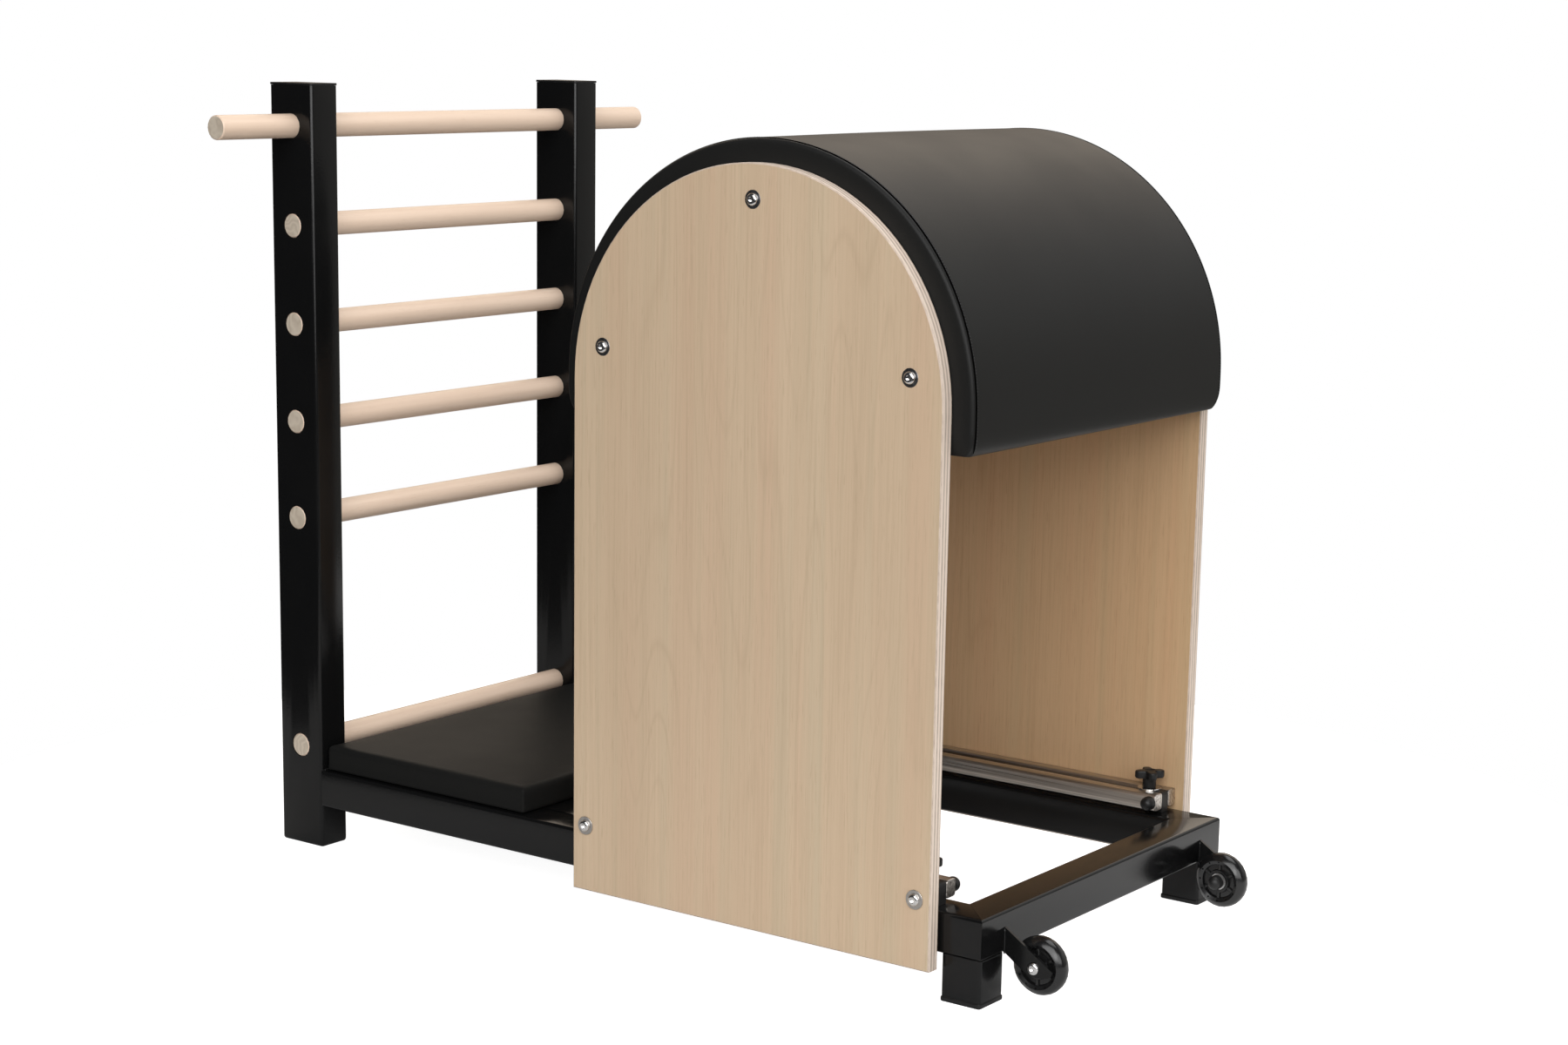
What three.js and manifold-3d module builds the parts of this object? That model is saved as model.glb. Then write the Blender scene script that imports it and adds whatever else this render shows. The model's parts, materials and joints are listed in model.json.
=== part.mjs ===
// Pilates ladder barrel: a wooden ladder and a padded foot platform on a steel base, with an arched, padded
// barrel that slides along the base's rails and is clamped by two star knobs.
// Millimetres. X runs from the ladder to the wheels, Y across, and Z up from the floor.
import * as THREE from "three";
import { mergeVertices } from "three/addons/utils/BufferGeometryUtils.js";
import Module from "manifold-3d";

const wasm = await Module();
wasm.setup();

// Whole
const baseLength = 1185.6;
const baseWidth = 600;
const ladderHeight = 1070;
const seatGap = 0.3;
const boreClearance = 0.4;
const overrun = 5;

// Steel base
const frameTube = 52;
const frameWall = 2.5;
const frameCorner = 4;
const frameInnerCorner = 1.5;
const frameClearance = 60;
const middleTubeWidth = 80;
const middleTubeHeight = 50;
const middleTubeReach = 53;
const legWidth = 56;
const legDepth = 52;
const legInset = 1;
const legFootLip = 6;
const legFootProud = 1;
const plugDepth = 16;
const plugWall = 3;

// Ladder
const uprightDepth = 80;
const uprightWidth = 50;
const uprightWall = 2.5;
const uprightCorner = 5;
const uprightBase = 5;
const uprightFootEdge = 4;
const capThickness = 3;
const capProud = 0.4;
const rungDiameter = 33;
const rungEdge = 1.5;
const topBarDrop = 58;
const rungPitch = 135.3;
const lowestRungHeight = 144;
const topBarOverhang = 137;
const pitchedRungCount = 4;

// Foot platform
const platformStop = 8.7;
const platformGap = 4;
const platformSideInset = 7.5;
const boardThickness = 8.6;
const boardInset = 9;
const boardCorner = 6;
const cushionThickness = 28.5;
const cushionCorner = 5;
const cushionCrown = 3;
const cushionDrawIn = 2.5;
const cushionUpperEdge = 8;
const cushionLeastCorner = 1.5;

// Barrel's side panels
const panelWidth = 560;
const panelThickness = 20;
const panelClearance = 5;
const panelSetback = 58.6;
const panelBottom = 41;
const archSpring = 716;
const panelEdge = 1.6;

// Barrel's pad, shell and ribs
const padOverhang = 29;
const foamThickness = 45;
const padSkirt = 46;
const padEdge = 13;
const padCrown = 3;
const padDrawIn = 2;
const shellThickness = 10;
const ribDepth = 34;
const ribThickness = 18;

// Slide bars and glide shoes
const barWidth = 20;
const barHeight = 23;
const barRise = 5.5;
const barCorner = 4;
const barEndEdge = 0.8;
const barInset = 13.7;
const slotWidth = 17;
const shoeLength = 16;
const shoeTopRadius = 5;
const slideTravel = 120;

// Bolts
const boltShank = 4;
const buttonHeadRadius = 7;
const buttonHeadHeight = 4.2;
const washerThickness = 1.5;
const lowWasherRadius = 11.5;
const lowBoltInset = 22;
const recessRadius = 11;
const recessDepth = 1.2;
const archWasherRadius = 10.6;
const archBoltAngle = THREE.MathUtils.degToRad(10);
const ribNutRadius = 8;
const ribNutLength = 6;
const capNutRadius = 9.5;
const capNutLength = 15;
const capNutDome = 9;

// Clamp
const clampSetback = 17.1;
const clampWasherRadius = 16;
const clampWasherThickness = 2;
const bossRadius = 9.2;
const bossFlare = 2;
const bossHeight = 9.5;
const knobReach = 20.5;
const knobWaist = 10.5;
const knobHeight = 14;
const knobEdge = 2.5;
const knobDish = 2.5;
const knobDishRadius = 8;
const knobBoreDepth = 14;
const railSlotWidth = 11;
const railSlotSpare = 3;
const clampHeadLength = 26;
const clampHeadWidth = 20;
const clampHeadThickness = 5;

// Wheels on the front cross tube
const wheelRadius = 37;
const wheelWidth = 24;
const wheelReach = 42.4;
const wheelHeight = 48;
const wheelPlateGap = 1.5;
const hubRadius = 15;
const coreRadius = 23.5;
const webThickness = 13;
const ventRadius = 1.3;
const ventRing = 26.5;
const ventCount = 12;
const bearingRadius = 11;
const bearingInset = 1.2;
const raceRadius = 6.5;
const casterPlateThickness = 4;
const casterPlateInset = 51.6;
const casterPlateRootHeight = 32;
const casterPlateNose = 26.5;
const casterPlateLap = 10.6;
const casterPlateHeel = 15.9;
const casterPlateToe = 5.3;

// Places worked out from the sizes above
const frontmost = baseLength + wheelReach + wheelRadius;
const rearmost = -capProud;
const halfWidth = baseWidth / 2;
const railTop = frameClearance + frameTube;
const railInner = halfWidth - frameTube;
const mitreSetback = seatGap / Math.SQRT2;
const rungRadius = rungDiameter / 2;
const uprightInner = halfWidth - uprightWidth;
const topBarHeight = ladderHeight - topBarDrop;
const uprightTop = ladderHeight - capThickness - seatGap;
const boardTop = railTop + seatGap + boardThickness;
const archRadius = panelWidth / 2;
const panelCentre = baseLength - panelSetback - archRadius;
const panelInner = halfWidth + panelClearance;
const panelOuter = panelInner + panelThickness;
const platformRear = uprightDepth + platformGap;
const platformFront = panelCentre - archRadius + barInset - slideTravel - platformStop;
const platformHalfWidth = halfWidth - platformSideInset;
const middleTubeFront = platformFront + middleTubeReach;
const barrelHalfWidth = panelInner - seatGap;
const padRadius = archRadius + padOverhang;
const padInnerRadius = padRadius - foamThickness;
const shellRadius = padInnerRadius - seatGap;
const ribRadius = shellRadius - shellThickness - seatGap;
const archBoltRadius = ribRadius - ribDepth / 2;
const boltHoleRadius = boltShank + boreClearance;
const padBottom = archSpring - padSkirt;
const barBottom = railTop + barRise;
const barTop = barBottom + barHeight;
const barLength = panelWidth - 2 * barInset;
const barMiddle = barBottom + barHeight / 2;
const outerBarCentre = panelInner - seatGap - barWidth / 2;
const innerBarCentre = outerBarCentre - barWidth - slotWidth;
const slotCentre = (outerBarCentre + innerBarCentre) / 2;
const shoeOffset = panelWidth / 2 - lowBoltInset;
const clampPlace = panelCentre + shoeOffset - clampSetback;
const bossBottom = barTop + clampWasherThickness + 2 * seatGap;
const knobBottom = bossBottom + bossHeight;
const axlePlace = baseLength + wheelReach;
const casterPlateOuter = halfWidth - casterPlateInset;
const casterPlateInner = casterPlateOuter - casterPlateThickness;
const wheelCentre = casterPlateInner - wheelPlateGap - wheelWidth / 2;

// Number of flat faces that stand for a round one
const rungFaces = 20;
const rungHoleFaces = 16;
const boreFaces = 14;
const boltFaces = 12;
const boltHoleFaces = 8;
const washerFaces = 24;
const wheelFaces = 28;
const ventFaces = 5;
const archFaces = 32;
const panelFaces = 48;
const starFaces = 32;
const domeSteps = 4;
const cornerSteps = 4;
const softSteps = 3;
const sideSteps = 6;

// Shares of a size that shape a rounded profile, each pair from the inside or the bottom outwards
const cushionSideShares = [
  [1, 0],
  [0.3, 0.1],
  [0, 0.35],
  [0.15, 0.62],
];
const cushionWaistShare = 0.3;
const lobeFullnessShare = 0.6;
const cushionCrownShares = [0.25, 0.55, 0.85];
const padCrownShares = [0.75, 0.4, 0, -0.4, -0.75];
const headShares = [
  [1, 0],
  [0.93, 0.5],
  [0.6, 1],
  [0, 1],
];
const treadShares = [
  [0, 0.85],
  [0.35, 1],
  [0.75, 0.72],
  [0.95, 0.38],
];

// Materials
function finish(colour, roughness, metalness) {
  return new THREE.MeshStandardMaterial({ color: colour, roughness, metalness });
}

const powderCoat = () => finish(0x16171a, 0.35, 0.1);
const blackPlastic = () => finish(0x1b1b1d, 0.5, 0);
const blackLeather = () => finish(0x26251f, 0.45, 0);
const panelWood = () => finish(0xc6b198, 0.5, 0);
const rungWood = () => finish(0xe0cbb2, 0.5, 0);
const birchPly = () => finish(0xd8c3a5, 0.6, 0);
const chrome = () => finish(0xc9c9cb, 0.18, 1);
const wheelRubber = () => finish(0x141416, 0.35, 0);

// Joining and cutting
function solidOf(geometry) {
  const bare = geometry.clone().deleteAttribute("normal").deleteAttribute("uv");
  const merged = mergeVertices(bare);
  const triVerts = new Uint32Array(merged.index.array);
  const vertProperties = merged.attributes.position.array;
  return new wasm.Manifold(new wasm.Mesh({ numProp: 3, vertProperties, triVerts }));
}

function geometryOf(solid) {
  const mesh = solid.getMesh();
  const geometry = new THREE.BufferGeometry();
  geometry.setAttribute("position", new THREE.BufferAttribute(mesh.vertProperties, 3));
  geometry.setIndex(new THREE.BufferAttribute(mesh.triVerts, 1));
  geometry.computeVertexNormals();
  return geometry;
}

function cut(geometry, cutters) {
  const solid = cutters.reduce((left, cutter) => left.subtract(solidOf(cutter)), solidOf(geometry));
  return geometryOf(solid);
}

function joined(geometry, others) {
  const solid = others.reduce((sum, other) => sum.add(solidOf(other)), solidOf(geometry));
  return geometryOf(solid);
}

// Rectangle with rounded corners, centred on the origin
function roundedRectangle(width, height, radius) {
  const x = width / 2 - radius;
  const y = height / 2 - radius;
  const shape = new THREE.Shape();
  shape.absarc(x, y, radius, 0, Math.PI / 2);
  shape.absarc(-x, y, radius, Math.PI / 2, Math.PI);
  shape.absarc(-x, -y, radius, Math.PI, Math.PI * 1.5);
  shape.absarc(x, -y, radius, Math.PI * 1.5, Math.PI * 2);
  return shape;
}

// Section of a rectangular steel tube
function tubeSection(width, height) {
  const section = roundedRectangle(width, height, frameCorner);
  section.holes.push(
    roundedRectangle(width - 2 * frameWall, height - 2 * frameWall, frameInnerCorner),
  );
  return section;
}

// Solid of an outline along +Z from the origin, with its two faces' edges chamfered.
// Each arc of the outline takes an even number of steps, and a path gives it twice its curve segments.
function extruded(outline, depth, arcSteps, edge = 0, edgeSteps = 1) {
  const solid = new THREE.ExtrudeGeometry(outline, {
    depth: depth - 2 * edge,
    curveSegments: arcSteps / 2,
    bevelEnabled: edge > 0,
    bevelThickness: edge,
    bevelSize: edge,
    bevelOffset: -edge,
    bevelSegments: edgeSteps,
  });
  return solid.translate(0, 0, edge);
}

// Turns a solid drawn along Z to run along X, its outline's x across and its y up
function alongX(geometry) {
  return geometry.rotateX(Math.PI / 2).rotateZ(Math.PI / 2);
}

// Turns a solid drawn along Z to run along Y from a given place, its outline on X and Z
function alongY(geometry, place, depth) {
  return geometry.rotateX(Math.PI / 2).translate(0, place + depth, 0);
}

// Round solid about Y through a profile of radius and height pairs
function turned(profile, faces) {
  return new THREE.LatheGeometry(
    profile.map(([radius, height]) => new THREE.Vector2(radius, height)),
    faces,
  );
}

// Round cutter along Y between two places
function crossHole(x, z, radius, from, to, faces) {
  const hole = new THREE.CylinderGeometry(radius, radius, to - from, faces);
  return hole.translate(x, (from + to) / 2, z);
}

// Round solid along Z between two heights
function uprightPin(radius, from, to, faces) {
  const pin = new THREE.CylinderGeometry(radius, radius, to - from, faces);
  return pin.rotateX(Math.PI / 2).translate(0, 0, (from + to) / 2);
}

// Closed skin through rings of as many points each, with a flat end at each end
function skinned(rings) {
  const count = rings[0].length;
  const centres = [rings[0], rings.at(-1)].map((ring) =>
    ring.reduce((sum, point) => sum.add(point), new THREE.Vector3()).divideScalar(count),
  );
  const points = [...rings.flat(), ...centres];
  const last = (rings.length - 1) * count;
  const faces = [];
  for (let i = 0; i < count; i += 1) {
    const next = (i + 1) % count;
    for (let ring = 0; ring < last; ring += count) {
      faces.push(ring + i, ring + next, ring + count + next);
      faces.push(ring + i, ring + count + next, ring + count + i);
    }
    faces.push(points.length - 2, next, i);
    faces.push(points.length - 1, last + i, last + next);
  }
  const geometry = new THREE.BufferGeometry().setFromPoints(points);
  geometry.setIndex(faces);
  geometry.computeVertexNormals();
  return geometry;
}

// Steel base
function sideRail() {
  const rear = uprightDepth + seatGap;
  const length = baseLength - rear;
  const rail = alongX(extruded(tubeSection(frameTube, frameTube), length, cornerSteps));
  rail.translate(rear, halfWidth - frameTube / 2, frameClearance + frameTube / 2);
  const place = rail.attributes.position;
  for (let i = 0; i < place.count; i += 1) {
    const atFront = place.getX(i) > (rear + baseLength) / 2;
    if (atFront) place.setX(i, baseLength - (halfWidth - place.getY(i)) - mitreSetback);
  }
  const slotLength = slideTravel + railSlotWidth + 2 * railSlotSpare;
  const slot = roundedRectangle(slotLength, railSlotWidth, railSlotWidth / 2);
  const slotCutter = extruded(slot, frameWall + 2 * overrun, 2 * cornerSteps);
  slotCutter.translate(clampPlace - slideTravel / 2, slotCentre, railTop - frameWall - overrun);
  return cut(rail, [slotCutter]);
}

function frontCrossTube() {
  const tube = extruded(tubeSection(frameTube, frameTube), baseWidth, cornerSteps);
  alongY(tube, -halfWidth, baseWidth);
  tube.translate(baseLength - frameTube / 2, 0, frameClearance + frameTube / 2);
  const place = tube.attributes.position;
  for (let i = 0; i < place.count; i += 1) {
    const reach = halfWidth - (baseLength - place.getX(i)) - mitreSetback;
    place.setY(i, Math.sign(place.getY(i)) * reach);
  }
  return tube;
}

function crossTube(width, height, halfLength, front) {
  const tube = extruded(tubeSection(width, height), 2 * halfLength, cornerSteps);
  alongY(tube, -halfLength, 2 * halfLength);
  return tube.translate(front - width / 2, 0, railTop - height / 2);
}

function middleCrossTube() {
  return crossTube(middleTubeWidth, middleTubeHeight, railInner - seatGap, middleTubeFront);
}

function rearCrossTube() {
  const front = (uprightDepth + frameTube) / 2;
  return crossTube(frameTube, frameTube, uprightInner - seatGap, front);
}

// Middle of a front leg
const legPlace = baseLength - legInset - legWidth / 2;
const legAcross = halfWidth - legInset - legDepth / 2;

function frontLeg() {
  const height = frameClearance - seatGap - legFootLip - seatGap;
  const leg = extruded(tubeSection(legWidth, legDepth), height, cornerSteps);
  return leg.translate(legPlace, legAcross, legFootLip + seatGap);
}

// Plastic plug with a lip and hollow walls that go into a tube's end
function tubePlug(width, depth, wall, lip, proud, reach) {
  const corner = frameCorner;
  const lipOutline = roundedRectangle(width + 2 * proud, depth + 2 * proud, corner);
  const plate = extruded(lipOutline, lip, cornerSteps, proud);
  const fitWidth = width - 2 * wall - 2 * seatGap;
  const fitDepth = depth - 2 * wall - 2 * seatGap;
  const sleeve = roundedRectangle(fitWidth, fitDepth, frameInnerCorner);
  sleeve.holes.push(
    roundedRectangle(fitWidth - 2 * plugWall, fitDepth - 2 * plugWall, frameInnerCorner),
  );
  const walls = extruded(sleeve, reach + lip / 2, cornerSteps).translate(0, 0, lip / 2);
  return joined(plate, [walls]);
}

function legFoot() {
  const foot = tubePlug(legWidth, legDepth, frameWall, legFootLip, legFootProud, plugDepth);
  return foot.translate(legPlace, legAcross, 0);
}

// Ladder
const rungHeights = Array.from(
  { length: pitchedRungCount },
  (_, i) => topBarHeight - (i + 1) * rungPitch,
).concat(lowestRungHeight);
const uprightMiddle = uprightDepth / 2;

function upright() {
  const outline = roundedRectangle(uprightDepth, uprightWidth, uprightCorner);
  const inside = roundedRectangle(
    uprightDepth - 2 * uprightWall,
    uprightWidth - 2 * uprightWall,
    uprightCorner - uprightWall,
  );
  const post = extruded(outline, ladderHeight, cornerSteps, uprightFootEdge, cornerSteps);
  const hollow = extruded(inside, ladderHeight, cornerSteps).translate(0, 0, uprightBase);
  const above = new THREE.BoxGeometry(ladderHeight, ladderHeight, ladderHeight);
  above.translate(0, 0, uprightTop + ladderHeight / 2);
  const holes = [topBarHeight, ...rungHeights].map((height) =>
    crossHole(0, height, rungRadius + boreClearance, -uprightWidth, uprightWidth, rungHoleFaces),
  );
  const drilled = cut(post, [hollow, above, ...holes]);
  return drilled.translate(uprightMiddle, halfWidth - uprightWidth / 2, 0);
}

function uprightCap() {
  const plug = tubePlug(uprightDepth, uprightWidth, uprightWall, capThickness, capProud, plugDepth);
  plug.rotateX(Math.PI);
  return plug.translate(uprightMiddle, halfWidth - uprightWidth / 2, ladderHeight);
}

function rung(halfLength, height) {
  const profile = [
    [0, -halfLength],
    [rungRadius - rungEdge, -halfLength],
    [rungRadius, -halfLength + rungEdge],
    [rungRadius, halfLength - rungEdge],
    [rungRadius - rungEdge, halfLength],
    [0, halfLength],
  ];
  const bar = turned(profile, rungFaces);
  return bar.translate(uprightMiddle, 0, height);
}

// Foot platform
const platformMiddle = (platformRear + platformFront) / 2;
const platformDepth = platformFront - platformRear;

function platformBoard() {
  const outline = roundedRectangle(
    platformDepth - 2 * boardInset,
    2 * (platformHalfWidth - boardInset),
    boardCorner,
  );
  const board = extruded(outline, boardThickness, cornerSteps);
  return board.translate(platformMiddle, 0, railTop + seatGap);
}

// One outline of the cushion, drawn in from its edge by an inset, with its sides in even steps
function cushionRing(inset, height) {
  const ring = [];
  const halfDepth = platformDepth / 2 - inset;
  const halfAcross = platformHalfWidth - inset;
  const corner = Math.max(cushionCorner - inset, cushionLeastCorner);
  const corners = [
    [1, 1, 0],
    [-1, 1, 1],
    [-1, -1, 2],
    [1, -1, 3],
  ];
  corners.forEach(([alongSign, acrossSign, quarter], index) => {
    const centreX = alongSign * (halfDepth - corner);
    const centreY = acrossSign * (halfAcross - corner);
    for (let step = 0; step <= softSteps; step += 1) {
      const angle = ((quarter + step / softSteps) * Math.PI) / 2;
      ring.push([centreX + corner * Math.cos(angle), centreY + corner * Math.sin(angle)]);
    }
    const [nextAlong, nextAcross] = corners[(index + 1) % corners.length];
    const from = ring.at(-1);
    const toX = nextAlong * (halfDepth - (nextAlong === alongSign ? 0 : corner));
    const toY = nextAcross * (halfAcross - (nextAcross === acrossSign ? 0 : corner));
    for (let step = 1; step < sideSteps; step += 1) {
      const share = step / sideSteps;
      ring.push([from[0] + (toX - from[0]) * share, from[1] + (toY - from[1]) * share]);
    }
  });
  return ring.map(([x, y]) => new THREE.Vector3(platformMiddle + x, y, height));
}

// Cushion with drawn-in sides, a rounded upper edge and a crowned top
function platformCushion() {
  const bottom = boardTop + seatGap;
  const top = bottom + cushionThickness - cushionCrown;
  const rings = cushionSideShares.map(([inShare, upShare]) =>
    cushionRing(inShare * cushionDrawIn, bottom + upShare * (top - bottom)),
  );
  for (let step = 1; step <= softSteps; step += 1) {
    const turn = (step / softSteps) * (Math.PI / 2);
    const inset = cushionDrawIn * cushionWaistShare + cushionUpperEdge * (1 - Math.cos(turn));
    rings.push(cushionRing(inset, top - cushionUpperEdge * (1 - Math.sin(turn))));
  }
  const reach = platformDepth / 2 - cushionUpperEdge;
  for (const share of cushionCrownShares) {
    const rise = cushionCrown * Math.sin((share * Math.PI) / 2);
    rings.push(cushionRing(cushionUpperEdge + share * reach, top + rise));
  }
  return skinned(rings);
}

// Barrel's side panels
function panelOutline() {
  const outline = new THREE.Shape();
  outline.moveTo(-archRadius, panelBottom);
  outline.lineTo(archRadius, panelBottom);
  outline.absarc(0, archSpring, archRadius, 0, Math.PI);
  return outline;
}

const archBoltAngles = [Math.PI / 2, archBoltAngle, Math.PI - archBoltAngle];
const archBoltPlaces = archBoltAngles.map((angle) => [
  panelCentre + archBoltRadius * Math.cos(angle),
  archSpring + archBoltRadius * Math.sin(angle),
]);
const shoePlaces = [panelCentre + shoeOffset, panelCentre - shoeOffset];

function sidePanel() {
  const plate = extruded(panelOutline(), panelThickness, panelFaces, panelEdge);
  alongY(plate, panelInner, panelThickness).translate(panelCentre, 0, 0);
  const from = panelInner - overrun;
  const to = panelOuter + overrun;
  const holes = [];
  for (const [x, z] of archBoltPlaces) {
    holes.push(crossHole(x, z, boltHoleRadius, from, to, boltHoleFaces));
    holes.push(crossHole(x, z, recessRadius, panelOuter - recessDepth, to, boreFaces));
  }
  for (const x of shoePlaces) {
    holes.push(crossHole(x, barMiddle, boltHoleRadius, from, to, boltHoleFaces));
  }
  return cut(plate, holes);
}

// Arched band on X and Z between two radii, with a straight skirt below each springing
function archBand(outerRadius, innerRadius, bottom) {
  const outline = new THREE.Shape();
  outline.moveTo(outerRadius, bottom);
  outline.absarc(0, archSpring, outerRadius, 0, Math.PI);
  outline.lineTo(-outerRadius, bottom);
  outline.lineTo(-innerRadius, bottom);
  outline.absarc(0, archSpring, innerRadius, Math.PI, 0, true);
  outline.lineTo(innerRadius, bottom);
  return outline;
}

function barrelShell() {
  const outline = archBand(shellRadius, shellRadius - shellThickness, padBottom);
  const shell = extruded(outline, 2 * barrelHalfWidth, archFaces);
  return alongY(shell, -barrelHalfWidth, 2 * barrelHalfWidth).translate(panelCentre, 0, 0);
}

function archRib() {
  const outline = archBand(ribRadius, ribRadius - ribDepth, padBottom);
  const rib = extruded(outline, ribThickness, archFaces);
  const inner = barrelHalfWidth - ribThickness;
  alongY(rib, inner, ribThickness).translate(panelCentre, 0, 0);
  const holes = archBoltPlaces.map(([x, z]) =>
    crossHole(x, z, boltHoleRadius, inner - overrun, panelInner + overrun, boltHoleFaces),
  );
  return cut(rib, holes);
}

// Section of the pad at one place along its arch: radius and place across, drawn in by an inset
function padSection(inset) {
  const outer = padRadius - padCrown - inset;
  const half = barrelHalfWidth - inset;
  const section = [
    [padInnerRadius, -half + padDrawIn],
    [padInnerRadius, half - padDrawIn],
    [(padInnerRadius + outer) / 2, half],
  ];
  for (let step = 0; step <= softSteps; step += 1) {
    const turn = (step / softSteps) * (Math.PI / 2);
    const across = half - padEdge * (1 - Math.cos(turn));
    section.push([outer - padEdge * (1 - Math.sin(turn)), across]);
  }
  for (const share of padCrownShares) {
    const rise = padCrown * Math.cos((share * Math.PI) / 2);
    section.push([outer + rise, share * (half - padEdge)]);
  }
  for (let step = softSteps; step >= 0; step -= 1) {
    const turn = (step / softSteps) * (Math.PI / 2);
    const across = half - padEdge * (1 - Math.cos(turn));
    section.push([outer - padEdge * (1 - Math.sin(turn)), -across]);
  }
  section.push([(padInnerRadius + outer) / 2, -half]);
  return section.reverse();
}

// Upholstered saddle over the arch, with rounded edges and ends
function barrelPad() {
  const ring = (inset, angle, drop) =>
    padSection(inset).map(([radius, across]) => {
      const x = panelCentre + radius * Math.cos(angle);
      return new THREE.Vector3(x, across, archSpring - drop + radius * Math.sin(angle));
    });
  const skirtEnd = [];
  for (let step = 0; step <= softSteps; step += 1) {
    const turn = (step / softSteps) * (Math.PI / 2);
    skirtEnd.push([padEdge * (1 - Math.sin(turn)), padSkirt - padEdge * (1 - Math.cos(turn))]);
  }
  const rings = skirtEnd.map(([inset, drop]) => ring(inset, 0, drop));
  for (let step = 0; step <= archFaces; step += 1) {
    rings.push(ring(0, (step / archFaces) * Math.PI, 0));
  }
  rings.push(...skirtEnd.reverse().map(([inset, drop]) => ring(inset, Math.PI, drop)));
  return skinned(rings);
}

// Slide bars, shoes and bolts that carry the panels on the rails
function slideBar(centre) {
  const section = roundedRectangle(barWidth, barHeight, barCorner);
  const bar = alongX(extruded(section, barLength, cornerSteps, barEndEdge));
  bar.translate(panelCentre - barLength / 2, centre, barMiddle);
  const holes = shoePlaces.map((x) =>
    crossHole(x, barMiddle, boltHoleRadius, centre - barWidth, centre + barWidth, boltHoleFaces),
  );
  return cut(bar, holes);
}

function glideShoe(x) {
  const bottom = railTop + seatGap;
  const half = shoeLength / 2;
  const outline = new THREE.Shape();
  outline.moveTo(-half, bottom);
  outline.lineTo(half, bottom);
  outline.absarc(half - shoeTopRadius, barTop - shoeTopRadius, shoeTopRadius, 0, Math.PI / 2);
  outline.absarc(shoeTopRadius - half, barTop - shoeTopRadius, shoeTopRadius, Math.PI / 2, Math.PI);
  const width = slotWidth - 2 * seatGap;
  const shoe = alongY(extruded(outline, width, cornerSteps), slotCentre - width / 2, width);
  const [from, to] = [slotCentre - width, slotCentre + width];
  const hole = crossHole(0, barMiddle, boltHoleRadius, from, to, boltHoleFaces);
  return cut(shoe, [hole]).translate(x, 0, 0);
}

// Profile of a button head, outwards from its seat
function buttonHead(seat) {
  return headShares.map(([acrossShare, upShare]) => [
    buttonHeadRadius * acrossShare,
    seat + buttonHeadHeight * upShare,
  ]);
}

// Profile of a button head on a washer, outwards from the washer's seat
function washeredHead(seat, washerRadius) {
  const washerTop = seat + washerThickness;
  return [
    [boltShank, seat],
    [washerRadius, seat],
    [washerRadius, washerTop],
    ...buttonHead(washerTop),
  ];
}

// Profile of a domed cap nut, from its crown outwards to its seat
function capNut(seat) {
  const crown = seat - capNutLength;
  const profile = [];
  for (let step = 0; step <= domeSteps; step += 1) {
    const turn = (step / domeSteps) * (Math.PI / 2);
    const fullness = capNutRadius * Math.sin(turn);
    profile.push([step ? fullness : 0, crown + capNutDome * (1 - Math.cos(turn))]);
  }
  profile.push([capNutRadius, seat], [boltShank, seat]);
  return profile;
}

function crossBolt(x) {
  const nutSeat = innerBarCentre - barWidth / 2 - seatGap;
  const profile = [...capNut(nutSeat), ...washeredHead(panelOuter + seatGap, lowWasherRadius)];
  return turned(profile, boltFaces).translate(x, 0, barMiddle);
}

function archBolt([x, z]) {
  const nutSeat = barrelHalfWidth - ribThickness - seatGap;
  const profile = [
    [0, nutSeat - ribNutLength],
    [ribNutRadius, nutSeat - ribNutLength],
    [ribNutRadius, nutSeat],
    [boltShank, nutSeat],
    ...washeredHead(panelOuter - recessDepth + seatGap, archWasherRadius),
  ];
  return turned(profile, boltFaces).translate(x, 0, z);
}

// Clamp: T bolt held in the slotted rail, washer over both bars, and star knob
function clampBolt() {
  const headTop = railTop - frameWall - seatGap;
  const head = new THREE.BoxGeometry(clampHeadLength, clampHeadWidth, clampHeadThickness);
  head.translate(0, 0, headTop - clampHeadThickness / 2);
  const tip = bossBottom + knobBoreDepth - seatGap;
  const shank = uprightPin(boltShank, headTop - clampHeadThickness / 2, tip, boltFaces);
  return joined(head, [shank]).translate(clampPlace, slotCentre, 0);
}

function clampWasher() {
  const bottom = barTop + seatGap;
  const profile = [
    [boltHoleRadius, bottom],
    [clampWasherRadius, bottom],
    [clampWasherRadius, bottom + clampWasherThickness],
    [boltHoleRadius, bottom + clampWasherThickness],
    [boltHoleRadius, bottom],
  ];
  return turned(profile, washerFaces).rotateX(Math.PI / 2).translate(clampPlace, slotCentre, 0);
}

function starOutline() {
  const points = [];
  const middle = (knobReach + knobWaist) / 2;
  const swing = (knobReach - knobWaist) / 2;
  for (let step = 0; step < starFaces; step += 1) {
    const angle = (step / starFaces) * Math.PI * 2;
    const wave = Math.cos(4 * angle);
    const reach = middle + swing * Math.sign(wave) * Math.abs(wave) ** lobeFullnessShare;
    points.push(new THREE.Vector2(reach * Math.cos(angle), reach * Math.sin(angle)));
  }
  return new THREE.Shape(points);
}

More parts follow.
